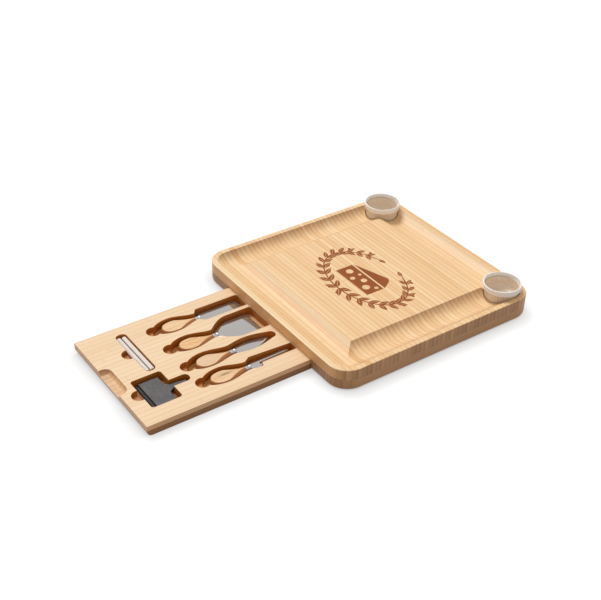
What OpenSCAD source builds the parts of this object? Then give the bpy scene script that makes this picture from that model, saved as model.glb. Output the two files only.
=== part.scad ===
// Square wooden serving board with one pull-out drawer of cheese knives, chalks and slate markers.
// Two small bowls stand in recesses at the back corners of the groove round the top.
// Millimetres, +Z up. The origin lies under the middle of the object with its drawer open.
// The drawer opens toward -Y.

/* [Board] */
// Width of the board, side to side
board_w = 330; // [324:1:360]
// Depth of the board, front to back
board_l = 330; // [324:1:360]
// Thickness of the top slab
slab_t = 15; // [13:0.5:20]
// Thickness of the rails under the slab
rail_t = 17; // [16:0.5:24]
// Radius of the board's corners in plan
corner_r = 30; // [24:1:36]
// Rounding of the slab's top edges
edge_round = 1.2; // [0.5:0.1:3]
// Rounding of the rails' lower outer edges
base_round = 6; // [2:0.5:8]
// Width of the rail across the back
back_rail_w = 28; // [20:1:36]

/* [Groove] */
// Width of the flat rim outside the groove
rim_w = 8.2; // [6:0.1:14]
// Width of the groove at its top
groove_w = 44.4; // [36:0.2:48]
// Depth of the groove along its middle
groove_depth = 9; // [5:0.5:11]

/* [Bowls] */
// Distance of a bowl's centre from the two board edges beside it
bowl_inset = 32.8; // [31:0.1:36]
// Height of a bowl
bowl_h = 27.6; // [22:0.2:36]
// Radius of a bowl's rim
bowl_rim_r = 26.7; // [24:0.1:30]
// Radius of the bowl's body under the rim band
bowl_body_r = 24.3; // [20:0.1:24.6]
// Height of the smooth rim band
bowl_band_h = 7.4; // [4:0.2:10]
// Thickness of the bowl's wall at the rim
bowl_wall = 2; // [1.4:0.1:3]
// Depth of the ledge inside the rim
bowl_ledge_depth = 5.5; // [3:0.5:8]
// Width of the ledge inside the rim
bowl_ledge_w = 1.3; // [0.6:0.1:2]
// Thickness of the bowl's floor
bowl_floor = 4; // [3:0.5:8]
// Radius between the bowl's floor and wall
bowl_fillet = 9; // [3:0.5:10]
// Gap between a bowl's body and its recess
bowl_gap = 0.9; // [0.5:0.1:1.5]

/* [Drawer] */
// How far the drawer stands open
drawer_out = 234.8; // [180:0.2:236]
// Thickness of the drawer's upper ply
top_ply = 6.9; // [5:0.1:8]
// Rounding of the drawer's lower front edge
front_round = 7.6; // [3:0.1:8]
// Gap between the drawer and the rail at each side
side_gap = 2.2; // [0.8:0.1:3]
// Gap between the drawer and the slab
top_gap = 1.6; // [0.6:0.1:2.4]
// Gap between the drawer and the surface under the board
floor_gap = 0.25; // [0.2:0.05:1]
// Gap between the closed drawer and the back rail
end_gap = 1.5; // [0.5:0.1:3]
// Length of the finger scoop along the drawer's front
scoop_w = 57.5; // [40:0.5:70]
// Reach of the finger scoop back from the front
scoop_l = 14.1; // [13:0.1:16]
// Depth of the finger scoop
scoop_depth = 6; // [4:0.1:6.5]
// Radius of the scoop's corners in plan
scoop_corner_r = 10; // [7:0.5:11]

/* [Guide pins and magnets] */
// Radius of a steel guide pin
pin_r = 2.5; // [1.5:0.1:3]
// Length of a guide pin inside the drawer
pin_grip = 12; // [8:0.5:20]
// Reach of a guide pin into the rail's groove
pin_reach = 4.5; // [3:0.1:8]
// Distance of the last guide pin from the drawer's rear
pin_rear = 10; // [6:0.5:15]
// Distance between the two guide pins of a side
pin_pitch = 32; // [20:1:36]
// Gap round a pin in the rail's groove
pin_gap = 0.3; // [0.2:0.05:0.5]
// Radius of a closing magnet
magnet_r = 4; // [3:0.1:5]
// Thickness of a closing magnet
magnet_t = 3; // [2:0.5:5]
// Distance of a magnet from the middle of the board
magnet_x = 60; // [40:1:80]
// Gap round a pin or magnet glued in its hole
glue_gap = 0.05; // [0.03:0.01:0.1]

/* [Pockets] */
// Depth of the knife pockets
knife_depth = 12.3; // [12:0.1:13]
// Depth of the slate pocket
slate_depth = 10.7; // [10.2:0.1:11.5]
// Radius of a finger notch
notch_r = 10; // [7:0.5:10.5]
// Distance of the knife notches from the drawer's front
knife_row = 87.5; // [86:0.5:90]
// Wood between the first knife pocket and the drawer's left side
knife_margin = 17.5; // [14:0.1:19]
// Wood between the last knife pocket and the drawer's right side
far_margin = 19.1; // [14:0.1:20]
// Wood between the plane's and the spatula's pockets
plane_web = 6.1; // [3:0.1:7]
// Wood between the spatula's and the spade's pockets
spatula_web = 4.1; // [3:0.1:6]
// Wood between the spade's and the fork's pockets
spade_web = 5.6; // [3:0.1:6]
// Gap beside a knife's handle at its widest
handle_gap = 2.9; // [2:0.1:3.5]
// Gap behind a knife's handle
tail_gap = 10.8; // [8:0.2:12]
// Gap to the left of the necks of the plane knife and the fork
neck_gap = 2; // [1.7:0.1:3]
// Gap to the right of the plane knife's neck
plane_neck_gap = 3; // [1:0.1:5]
// Gap to the left of the spatula knife's neck
spatula_neck_gap = 3.2; // [1.7:0.1:5]
// Gap to the right of the spatula knife's neck
spatula_right_gap = 4.2; // [1:0.1:5]
// Gap beside the spade knife's neck
spade_neck_gap = 5.2; // [3:0.1:6]
// Gap to the right of the fork's neck
fork_neck_gap = 5.4; // [1:0.1:6]
// How far to the left of its pocket's middle the plane knife lies
plane_lie = 1.2; // [0:0.1:1.4]
// How far to the left of their pockets' middles the spatula and spade knives lie
knife_lie = 1; // [0:0.1:1.4]
// How far these three knives lie toward the drawer's rear
rear_lie = 1.7; // [0:0.1:2]
// How far to the left of its pocket's middle the fork lies
fork_lie = 0.8; // [0:0.1:1]
// Gap beside a blade
blade_gap = 4.6; // [3.6:0.1:5]
// Distance behind a ferrule's front at which the blade pocket starts to widen
pocket_lead = 4; // [2:0.5:6]
// Wood cut away to the left of the fork's tips, measured from a fork in the middle
fork_left_gap = 2.1; // [1.3:0.1:4]
// Gap to the right of the fork's right prong
fork_right_gap = 0.3; // [0.2:0.1:2]
// Length of the fork pocket's wide part past its shoulder
fork_bay_len = 9.2; // [6:0.2:14]
// Slope between the wide and the narrow part of the fork's pocket
fork_bay_slope = 2.3; // [1:0.1:4]
// Gap in front of the longest blade
tip_gap = 5.8; // [5:0.1:7]
// Rounding of a blade pocket's far corners in plan
pocket_corner_r = 3; // [1:0.5:4]
// Gap in front of the spade's tip
spade_tip_gap = 7.4; // [5:0.1:8]
// Radius at the far end of the spade's pocket
spade_end_r = 7; // [3:0.5:7]
// Gap under and beside a piece on its seat
seat_gap = 0.2; // [0.1:0.05:0.3]

/* [Knives] */
// Length of a wooden handle
handle_len = 51; // [46:0.5:54]
// Radius of a handle at its widest
handle_r = 13.3; // [11:0.1:14]
// Radius of a handle where it meets the ferrule
neck_r = 5; // [4.6:0.1:6]
// Distance of the widest place from the ferrule
belly_at = 33; // [28:0.5:36]
// How late a handle swells behind its neck, 1 being at once
belly_delay = 1.3; // [1:0.05:1.6]
// Thickness of a handle between its flat faces
handle_t = 9; // [8:0.1:10]
// Length of a ferrule
ferrule_len = 8; // [6:0.5:10]
// Outer radius of a ferrule
ferrule_r = 4.5; // [4:0.1:4.6]
// Wall of a ferrule
ferrule_wall = 0.8; // [0.6:0.1:1]
// Room left inside the ferrule in front of the handle's spigot
spigot_room = 1; // [0.5:0.5:3]
// Thickness of a blade
blade_t = 1.8; // [1.2:0.1:2.4]
// Width of the tang inside the handle
tang_w = 4.6; // [3:0.1:5]
// Length of the tang behind the ferrule
tang_len = 14; // [8:0.5:20]
// Corner radius at the ends of the plane and spatula blades
blade_corner_r = 2; // [1:0.5:4]
// Width of the narrow plane blade
plane_w = 19.2; // [14:0.2:21]
// Length of the narrow plane blade
plane_len = 61.3; // [50:0.5:64]
// Length over which the plane blade widens
plane_shoulder = 2.6; // [1:0.2:8]
// How far the plane blade stands out beside its ferrule
plane_step = 0.6; // [0.2:0.1:2]
// Width of the wide spatula blade
spatula_w = 41.4; // [36:0.2:43]
// Length of the wide spatula blade
spatula_len = 56.9; // [48:0.5:60]
// Length over which the spatula blade widens
spatula_shoulder = 27.9; // [20:0.5:36]
// How far the spatula blade stands out beside its ferrule
spatula_step = 0.4; // [0.2:0.1:2]
// Width of the pointed spade blade
spade_w = 18.8; // [15:0.2:21]
// Length of the pointed spade blade
spade_len = 54.9; // [48:0.5:58]
// Length over which the spade blade widens
spade_shoulder = 20.9; // [14:0.5:28]
// How far the spade blade stands out beside its ferrule
spade_step = 1.6; // [0.2:0.1:3]
// Distance of the spade's tip to the left of its middle
spade_tip_x = 2.5; // [0:0.5:5]
// Turn of the spade knife, which lies a little askew in its pocket
spade_turn = 1.4; // [0:0.1:2]
// Width of the fork at its root
fork_w = 16; // [13:0.2:18]
// Width of the fork at its tips
fork_tip_w = 12.8; // [10:0.2:13]
// Length of the fork
fork_len = 59.7; // [50:0.5:64]
// Length over which the fork widens
fork_shoulder = 4.5; // [2:0.5:8]
// How far the fork stands out beside its ferrule
fork_step = 0.5; // [0.2:0.1:2]
// Width of the slot between the fork's prongs
fork_slot_w = 4.2; // [3:0.1:5]
// Length of the slot between the fork's prongs
fork_slot_len = 49; // [40:0.5:52]

/* [Chalk] */
// Length of a chalk stick
chalk_len = 79.5; // [70:0.5:82]
// Radius of a chalk stick
chalk_r = 3.3; // [3:0.1:3.6]
// Depth of the chalk slot
chalk_depth = 8; // [7.8:0.1:9]
// Play between the two sticks and at each side of them
chalk_play = 0.7; // [0.4:0.1:1]
// Play at each end of the chalk slot
chalk_end_play = 4.7; // [3:0.1:6]
// Corner radius of the chalk slot in plan
chalk_slot_r = 6.6; // [3:0.2:6.8]
// Distance of the chalk notch's centre in front of the slot
chalk_notch_out = 1; // [0:0.5:3]
// Distance of the chalk slot from the drawer's side
chalk_margin = 15.5; // [13:0.5:17]

/* [Slate markers] */
// Distance of the chalk and slate pockets' far edges from the drawer's front
tray_line = 64.4; // [62:0.2:66]
// Width of a marker's plate
slate_w = 50; // [44:0.5:51]
// Height of a marker's plate
slate_l = 27; // [24:0.5:29]
// Thickness of a marker
slate_t = 2.75; // [2:0.05:3]
// Width of the marker's shoulder at its plate
slate_shoulder_w = 18; // [14:0.5:22]
// Width of the spike under the shoulder
slate_spike_w = 9; // [7:0.2:10]
// Length of the marker's spike with its shoulder
slate_spike_len = 27; // [22:0.5:30]
// Length of the marker's shoulder between plate and spike
slate_bend_len = 6.5; // [4:0.5:10]
// Width of the spike's tip
slate_tip_w = 3.2; // [1:0.2:5]
// Play round a marker, to the left and right
slate_play_x = 4.25; // [3:0.05:5]
// Play in front of a marker
slate_play_y = 9.2; // [7:0.1:10]
// Play behind the marker's plate
slate_play_back = 6.2; // [5:0.1:8]
// Corner radius of the slate pocket in plan
slate_pocket_r = 4; // [2:0.5:6]
// Distance of the slate notch's centre in front of the pocket
slate_notch_out = 2; // [0:0.5:3]
// Width of the spike's pocket
spike_pocket_w = 14; // [12:0.2:16]
// Radius at the end of the spike's pocket
spike_pocket_r = 6; // [3:0.2:6]
// Play past the spike's tip
slate_play_tip = 4.7; // [3:0.1:6]
// Wood between the chalk slot and the slate pocket
tray_web = 6.1; // [4:0.1:8]
// Offset of the lower marker from the upper one, forwards
slate_slip = 3.6; // [1:0.1:5]

/* [Hidden] */

// overshoot of every cut past the face that it opens
cut = 1;
// steps in an outline's curve and sides of a round piece
curve_steps = 14;
round_sides = 96;

// the drawer is as wide as its row of knife pockets and the wood beside it
handle_half = handle_r + handle_gap;
blade_w = [plane_w, spatula_w, spade_w, fork_w];
web = [plane_web, spatula_web, spade_web];
knife_pitch = [for (k = [0:2])
    max(2 * handle_half, (blade_w[k] + blade_w[k + 1]) / 2 + 2 * blade_gap) + web[k]];
knife_row_w = 2 * handle_half + knife_pitch[0] + knife_pitch[1] + knife_pitch[2];
drawer_w = knife_margin + knife_row_w + far_margin;

// the board
board_top = rail_t + slab_t;
board_y = drawer_out / 2;
bay_w = drawer_w + 2 * side_gap;
bay_l = board_l - back_rail_w;
groove_x = board_w / 2 - rim_w - groove_w / 2;
groove_y = board_l / 2 - rim_w - groove_w / 2;
groove_arc_r = (groove_w * groove_w / 4 + groove_depth * groove_depth) / (2 * groove_depth);
bowl_x = board_w / 2 - bowl_inset;
bowl_y = board_l / 2 - bowl_inset;
recess_r = bowl_body_r + bowl_gap;

// the drawer, in its own frame: y runs back from its front face, z up from its underside
drawer_l = bay_l - end_gap;
drawer_t = rail_t - top_gap - floor_gap;
base_ply = drawer_t - top_ply;
pin_z = base_ply / 2;
// finger notches are cut through the upper ply, down to the lower one
notch_depth = top_ply;
pin_rows = [drawer_l - pin_rear - pin_pitch, drawer_l - pin_rear];
magnet_z = base_ply / 2;

// the knives: plane, spatula, spade and fork, in that order from the left
PLANE = 0;
SPATULA = 1;
SPADE = 2;
FORK = 3;
blade_len = [plane_len, spatula_len, spade_len, fork_len];
// half width of each blade at the ferrule, and the length over which it widens
blade_root = [for (step = [plane_step, spatula_step, spade_step, fork_step]) ferrule_r + step];
blade_shoulder = [plane_shoulder, spatula_shoulder, spade_shoulder, fork_shoulder];
left_neck = [for (gap = [neck_gap, spatula_neck_gap, spade_neck_gap, neck_gap]) neck_r + gap];
right_gap = [plane_neck_gap, spatula_right_gap, spade_neck_gap, fork_neck_gap];
right_neck = [for (gap = right_gap) neck_r + gap];
// where each knife lies in the play of its pocket
lie = [[-plane_lie, rear_lie], [-knife_lie, rear_lie], [-knife_lie, rear_lie], [-fork_lie, 0]];
plane_x = -drawer_w / 2 + knife_margin + handle_half;
spatula_x = plane_x + knife_pitch[0];
spade_x = spatula_x + knife_pitch[1];
fork_x = spade_x + knife_pitch[2];
knife_x = [plane_x, spatula_x, spade_x, fork_x];
notch_y = knife_row + notch_r;
ferrule_y = notch_y + tail_gap + handle_len;
blade_y = ferrule_y + ferrule_len;
row_end = blade_y + max(blade_len) + tip_gap;
knife_z = drawer_t - knife_depth + seat_gap + handle_t / 2;

// the chalks and the slate markers
chalk_slot_l = chalk_len + 2 * chalk_end_play;
chalk_slot_w = 4 * chalk_r + 3 * chalk_play;
chalk_x = -drawer_w / 2 + chalk_margin + chalk_slot_l / 2;
chalk_y = tray_line - chalk_slot_w / 2;
chalk_z = drawer_t - chalk_depth + seat_gap + chalk_r;
slate_pocket_w = slate_w + 2 * slate_play_x;
slate_pocket_l = slate_l + slate_play_y + slate_play_back;
slate_x = chalk_x + chalk_slot_l / 2 + tray_web + slate_pocket_w / 2;
slate_pocket_y = tray_line - slate_pocket_l;
slate_y = slate_pocket_y + slate_play_y;
spike_pocket_l = slate_spike_len - slate_play_back + slate_play_tip;

// points on an arc about c, from angle a to angle b
function arc(c, r, a, b, n = curve_steps) =
    [for (i = [0:n]) c + r * [cos(a + (b - a) * i / n), sin(a + (b - a) * i / n)]];

// rises from 0 to 1 and levels off, for t from 0 to 1
function swell(t) = sin(90 * min(1, max(0, t)));

// half width of a pear-shaped handle at distance s behind its neck
function pear(s, neck, belly, at, len) =
    s < at ? neck + (belly - neck) * swell(pow(s / at, belly_delay))
           : belly * sqrt(max(0, 1 - pow((s - at) / (len - at), 2)));

// half outline of the pear from neck to tail: [half width, -distance]
function pear_side(neck, belly, at, len) = concat(
    [for (i = [0:curve_steps])
        [pear(at * i / curve_steps, neck, belly, at, len), -at * i / curve_steps]],
    [for (a = [90 / curve_steps:90 / curve_steps:89.9]) [belly * cos(a), -at - (len - at) * sin(a)]],
    [[0, -len]]
);

// joins a right half outline and the mirror image of a left one
function joined(right, left) =
    concat(right, [for (i = [len(left) - 1:-1:0]) if (left[i][0] > 0) [-left[i][0], left[i][1]]]);

// closes a half outline by its own mirror image
function mirrored(side) = joined(side, side);

// one side of a blade or its pocket, widening from root at y0 to half at y1
function shoulder(root, half, y0, y1) = [for (i = [0:curve_steps])
    [root + (half - root) * swell(i / curve_steps), y0 + (y1 - y0) * i / curve_steps]];

function square_side(root, half, y0, y1, end, r) =
    concat(shoulder(root, half, y0, y1), arc([half - r, end - r], r, 0, 90, 5));

// the same with a nose that narrows from half at y1 to last at end
function nose_side(root, half, y0, y1, end, last) = concat(
    shoulder(root, half, y0, y1),
    [for (i = [1:curve_steps])
        [last + (half - last) * cos(90 * i / curve_steps), y1 + (end - y1) * i / curve_steps]]
);

// one side of the spade's pocket, whose nose is rounded to radius r
function round_nose_side(root, half, y0, y1, end, r) = concat(
    nose_side(root, half, y0, y1, end - r, r),
    arc([0, end - r], r, 15, 90, 5)
);

// one ply or slab with rounded corners, and rounded lower and upper outer edges
module rounded_plate(w, l, t, r, low_round, high_round) {
    profile = concat(
        [[0, 0]],
        low_round > 0 ? arc([r - low_round, low_round], low_round, -90, 0, 8) : [[r, 0]],
        high_round > 0 ? arc([r - high_round, t - high_round], high_round, 0, 90, 4) : [[r, t]],
        [[0, t]]
    );
    translate([-w / 2 + r, -l / 2 + r, 0]) cube([w - 2 * r, l - 2 * r, t]);
    for (side = [0:3]) {
        across = side % 2 == 0 ? w : l;
        along = side % 2 == 0 ? l : w;
        rotate([0, 0, 90 * side]) {
            translate([across / 2 - r, along / 2 - r, 0])
                rotate([90, 0, 0]) linear_extrude(along - 2 * r) polygon(profile);
            translate([across / 2 - r, along / 2 - r, 0])
                rotate_extrude(angle = 90, $fn = round_sides) polygon(profile);
        }
    }
}

// the round-bottomed groove along one side, with a ball-shaped end at its corner
module groove_side(reach, offset_y) {
    translate([-reach, offset_y, board_top + groove_arc_r - groove_depth])
        rotate([0, 90, 0]) cylinder(r = groove_arc_r, h = 2 * reach, $fn = round_sides);
}

module groove() {
    for (m = [-1, 1]) {
        groove_side(groove_x, m * groove_y);
        rotate([0, 0, 90]) groove_side(groove_y, m * groove_x);
        for (n = [-1, 1])
            translate([m * groove_x, n * groove_y, board_top + groove_arc_r - groove_depth])
                sphere(r = groove_arc_r, $fn = round_sides);
    }
}

module top_slab() {
    color("burlywood") translate([0, board_y, 0]) difference() {
        translate([0, 0, rail_t])
            rounded_plate(board_w, board_l, slab_t, corner_r, 0, edge_round);
        groove();
        for (m = [-1, 1])
            translate([m * bowl_x, bowl_y, rail_t - cut])
                cylinder(r = recess_r, h = slab_t + 2 * cut, $fn = round_sides);
    }
}

// the guide groove in one side rail's inner face, from the open stop to past the closed place
module guide_groove() {
    front = pin_rows[0] - drawer_out - pin_gap;
    back = pin_rows[1] + pin_gap;
    low = pin_z + floor_gap;
    half = pin_r + pin_gap;
    translate([bay_w / 2 - cut, -board_l / 2, low]) {
        translate([0, front, -half]) cube([pin_reach + pin_gap + cut, back - front, 2 * half]);
        for (y = [front, back])
            translate([0, y, 0]) rotate([0, 90, 0])
                cylinder(r = half, h = pin_reach + pin_gap + cut, $fn = round_sides);
    }
}

module side_rail(side) {
    color("peru") translate([0, board_y, 0]) difference() {
        intersection() {
            rounded_plate(board_w, board_l, rail_t, corner_r, base_round, 0);
            translate([side > 0 ? bay_w / 2 : -board_w / 2, -board_l / 2, 0])
                cube([(board_w - bay_w) / 2, board_l, rail_t]);
        }
        mirror([side > 0 ? 0 : 1, 0, 0]) guide_groove();
    }
}

// both magnets of one face, or the holes that they are glued into
module magnet_pair(grow) {
    for (m = [-1, 1])
        translate([m * magnet_x, 0, magnet_z])
            rotate([-90, 0, 0]) cylinder(r = magnet_r + grow, h = magnet_t + grow, $fn = round_sides);
}

module back_rail() {
    color("peru") translate([0, board_y, 0]) difference() {
        intersection() {
            rounded_plate(board_w, board_l, rail_t, corner_r, base_round, 0);
            translate([-bay_w / 2, board_l / 2 - back_rail_w, 0]) cube([bay_w, back_rail_w, rail_t]);
        }
        translate([0, board_l / 2 - back_rail_w, floor_gap]) magnet_pair(glue_gap);
        translate([0, board_l / 2 - back_rail_w - cut, floor_gap]) for (m = [-1, 1])
            translate([m * magnet_x, 0, magnet_z])
                rotate([-90, 0, 0]) cylinder(r = magnet_r + glue_gap, h = 2 * cut, $fn = round_sides);
    }
}

module board_magnets() {
    color("silver") translate([0, board_y + board_l / 2 - back_rail_w, floor_gap]) magnet_pair(0);
}

// moves a piece from the drawer's own frame to its place in the open drawer
module in_drawer() {
    translate([0, board_y - board_l / 2 - drawer_out, floor_gap]) children();
}

module handle_pocket(k) {
    length = handle_len + tail_gap;
    translate([0, ferrule_y]) polygon(joined(
        pear_side(right_neck[k], handle_half, belly_at, length),
        pear_side(left_neck[k], handle_half, belly_at, length)));
}

module blade_pocket(k) {
    left = left_neck[k];
    right = right_neck[k];
    half = blade_w[k] / 2 + blade_gap;
    y0 = -pocket_lead;
    y1 = blade_shoulder[k];
    far = k == SPADE ? spade_len + spade_tip_gap : row_end - blade_y;
    translate([0, blade_y]) {
        translate([-left, -ferrule_len - cut])
            square([left + right, ferrule_len - pocket_lead + 2 * cut]);
        if (k == SPADE) polygon(mirrored(round_nose_side(left, half, y0, y1, far, spade_end_r)));
        else if (k == FORK) fork_pocket(left, right, half, y0, y1, far);
        else polygon(joined(
            square_side(right, half, y0, y1, far, pocket_corner_r),
            square_side(left, half, y0, y1, far, pocket_corner_r)));
    }
}

// the fork's pocket is wide at the root and close beside the right prong
module fork_pocket(left, right, half, y0, y1, far) {
    bay_end = y1 + fork_bay_len;
    left_far = fork_tip_w / 2 + fork_left_gap;
    right_half = fork_tip_w / 2 - fork_lie + fork_right_gap;
    polygon([
        [-left, y0], [right, y0], [half, y1], [half, bay_end - fork_bay_slope],
        [right_half, bay_end], [right_half, far], [-left_far, far], [-half, y1]
    ]);
}

module pocket_cut(depth) {
    translate([0, 0, drawer_t - depth]) linear_extrude(depth + cut) children();
}

module notch_cut(x, y) {
    translate([x, y, drawer_t - notch_depth])
        cylinder(r = notch_r, h = notch_depth + cut, $fn = round_sides);
}

// a flat outline with all four corners rounded, its near left corner at the origin
module round_rect(w, l, r) {
    polygon(concat(
        arc([w - r, r], r, -90, 0, 6), arc([w - r, l - r], r, 0, 90, 6),
        arc([r, l - r], r, 90, 180, 6), arc([r, r], r, 180, 270, 6)
    ));
}

module slate_pocket() {
    translate([-slate_pocket_w / 2, 0])
        round_rect(slate_pocket_w, slate_pocket_l, slate_pocket_r);
    translate([-spike_pocket_w / 2, slate_pocket_l / 2])
        round_rect(spike_pocket_w, slate_pocket_l / 2 + spike_pocket_l, spike_pocket_r);
}

module pockets() {
    for (k = [0:3]) {
        translate([knife_x[k], 0, 0]) pocket_cut(knife_depth) {
            handle_pocket(k);
            blade_pocket(k);
        }
        notch_cut(knife_x[k], notch_y);
    }
    translate([chalk_x - chalk_slot_l / 2, chalk_y - chalk_slot_w / 2, 0])
        pocket_cut(chalk_depth) round_rect(chalk_slot_l, chalk_slot_w, chalk_slot_r);
    notch_cut(chalk_x, chalk_y - chalk_slot_w / 2 - chalk_notch_out);
    translate([slate_x, slate_pocket_y, 0]) pocket_cut(slate_depth) slate_pocket();
    notch_cut(slate_x, slate_pocket_y - slate_notch_out);
}

// a rounded cove in the front edge to pull the drawer by
module finger_scoop() {
    translate([0, 0, drawer_t - scoop_depth])
        rounded_plate(scoop_w, 2 * scoop_l, scoop_depth + cut, scoop_corner_r, scoop_depth, 0);
}

// the drawer's whole block with its lower front edge rounded
module drawer_block() {
    translate([-drawer_w / 2, 0, 0]) rotate([90, 0, 90]) linear_extrude(drawer_w) polygon(concat(
        [[drawer_l, 0], [drawer_l, drawer_t], [0, drawer_t]],
        arc([front_round, front_round], front_round, 180, 270, 8)
    ));
}

// steel pins in both sides of the drawer, near its rear
module pin_set(grow, inner, outer) {
    for (m = [-1, 1], y = pin_rows)
        translate([m * (drawer_w / 2 - inner), y, pin_z]) rotate([0, m * 90, 0])
            cylinder(r = pin_r + grow, h = inner + outer, $fn = round_sides);
}

module drawer_top_panel() {
    color("wheat") in_drawer() difference() {
        intersection() {
            drawer_block();
            translate([-drawer_w / 2, 0, base_ply]) cube([drawer_w, drawer_l, top_ply]);
        }
        pockets();
        finger_scoop();
    }
}

module drawer_base_panel() {
    color("sienna") in_drawer() difference() {
        intersection() {
            drawer_block();
            translate([-drawer_w / 2, 0, 0]) cube([drawer_w, drawer_l, base_ply]);
        }
        pockets();
        pin_set(glue_gap, pin_grip + glue_gap, cut);
        translate([0, drawer_l - magnet_t, 0]) magnet_pair(glue_gap);
    }
}

module guide_pins() {
    color("silver") in_drawer() pin_set(0, pin_grip, side_gap + pin_reach);
}

module drawer_magnets() {
    color("silver") in_drawer() translate([0, drawer_l - magnet_t, 0]) magnet_pair(0);
}

// places a knife: its axis along +Y, its origin where the blade leaves the ferrule
module on_knife_seat(k) {
    turn_y = notch_y + tail_gap + handle_len - belly_at;
    in_drawer() translate([knife_x[k] + lie[k][0], turn_y + lie[k][1], knife_z])
        rotate([0, 0, k == SPADE ? spade_turn : 0]) translate([0, blade_y - turn_y, 0]) children();
}

// a turned pear shape with flat faces above and below, a spigot for the ferrule and a slot for the tang
module knife_handle(k) {
    spigot_r = ferrule_r - ferrule_wall - glue_gap;
    spigot_len = ferrule_len - spigot_room;
    color("burlywood") on_knife_seat(k) difference() {
        union() {
            translate([0, -ferrule_len, 0]) intersection() {
                rotate([-90, 0, 0]) rotate_extrude($fn = round_sides)
                    polygon(concat([[0, 0]], pear_side(neck_r, handle_r, belly_at, handle_len)));
                translate([-handle_r, -handle_len, -handle_t / 2])
                    cube([2 * handle_r, handle_len, handle_t]);
            }
            translate([0, -ferrule_len, 0]) rotate([-90, 0, 0])
                cylinder(r = spigot_r, h = spigot_len, $fn = round_sides);
        }
        translate([-tang_w / 2 - glue_gap, -ferrule_len - tang_len - cut, -blade_t / 2 - glue_gap])
            cube([tang_w + 2 * glue_gap, tang_len + ferrule_len + 2 * cut, blade_t + 2 * glue_gap]);
    }
}

module knife_ferrule(k) {
    color("silver") on_knife_seat(k) rotate([90, 0, 0]) difference() {
        cylinder(r = ferrule_r, h = ferrule_len, $fn = round_sides);
        translate([0, 0, -cut])
            cylinder(r = ferrule_r - ferrule_wall, h = ferrule_len + 2 * cut, $fn = round_sides);
    }
}

module blade_outline(k) {
    root = blade_root[k];
    half = blade_w[k] / 2;
    y1 = blade_shoulder[k];
    if (k == SPADE) spade_outline(root, half, y1);
    else if (k == FORK) fork_outline(root, half);
    else polygon(mirrored(square_side(root, half, 0, y1, blade_len[k], blade_corner_r)));
}

// a point that lies to the left of the middle, so that side is the straighter one
module spade_outline(root, half, y1) {
    right = nose_side(root, half, 0, y1, spade_len, -spade_tip_x);
    left = nose_side(root, half, 0, y1, spade_len, spade_tip_x);
    polygon(concat(right, [for (i = [len(left) - 2:-1:0]) [-left[i][0], left[i][1]]]));
}

// two slim prongs with slanted tips and a round-ended slot between them
module fork_outline(root, half) {
    slot_start = fork_len - fork_slot_len;
    tip_half = fork_tip_w / 2;
    slot_half = fork_slot_w / 2;
    difference() {
        polygon(mirrored([[root, 0], [half, blade_shoulder[FORK]], [tip_half, slot_start],
            [tip_half, fork_len - tip_half], [slot_half, fork_len], [0, fork_len]]));
        translate([-slot_half, slot_start + slot_half]) square([fork_slot_w, fork_slot_len]);
        translate([0, slot_start + slot_half]) circle(r = slot_half, $fn = round_sides);
    }
}

module knife_blade(k) {
    color("lightgray") on_knife_seat(k) translate([0, 0, -blade_t / 2]) linear_extrude(blade_t) {
        blade_outline(k);
        translate([-tang_w / 2, -ferrule_len - tang_len]) square([tang_w, ferrule_len + tang_len + cut]);
    }
}

// a small straight-sided bowl with a rim band, a ledge inside and a round-edged floor
module bowl(side) {
    inner_r = bowl_rim_r - bowl_wall;
    cup_r = inner_r - bowl_ledge_w;
    foot = 1.2;
    color("white") translate([side * bowl_x, board_y + bowl_y, rail_t + seat_gap])
        rotate_extrude($fn = round_sides) polygon(concat(
            [[0, 0], [bowl_body_r - foot, 0], [bowl_body_r, foot]],
            [[bowl_body_r, bowl_h - bowl_band_h - foot], [bowl_rim_r, bowl_h - bowl_band_h]],
            arc([bowl_rim_r - bowl_wall / 2, bowl_h - bowl_wall / 2], bowl_wall / 2, 0, 180, 8),
            [[inner_r, bowl_h - bowl_ledge_depth], [cup_r, bowl_h - bowl_ledge_depth - bowl_ledge_w]],
            arc([cup_r - bowl_fillet, bowl_floor + bowl_fillet], bowl_fillet, 0, -90, 8),
            [[0, bowl_floor]]
        ));
}

module chalk(row) {
    chamfer = 0.5;
    color("white") in_drawer()
        translate([chalk_x - chalk_len / 2, chalk_y + row * (chalk_r + chalk_play / 2), chalk_z])
            rotate([0, 90, 0]) rotate_extrude($fn = round_sides) polygon([
                [0, 0], [chalk_r - chamfer, 0], [chalk_r, chamfer],
                [chalk_r, chalk_len - chamfer], [chalk_r - chamfer, chalk_len], [0, chalk_len]
            ]);
}

// a name plate with a shouldered spike; level counts up from the pocket's floor
module slate(level) {
    color("dimgray") in_drawer()
        translate([slate_x, slate_y - (1 - level) * slate_slip,
            drawer_t - slate_depth + seat_gap + level * (slate_t + seat_gap)])
            linear_extrude(slate_t) polygon(mirrored([
                [slate_w / 2, 0], [slate_w / 2, slate_l], [slate_shoulder_w / 2, slate_l],
                [slate_spike_w / 2, slate_l + slate_bend_len],
                [slate_tip_w / 2, slate_l + slate_spike_len]
            ]));
}

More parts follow.
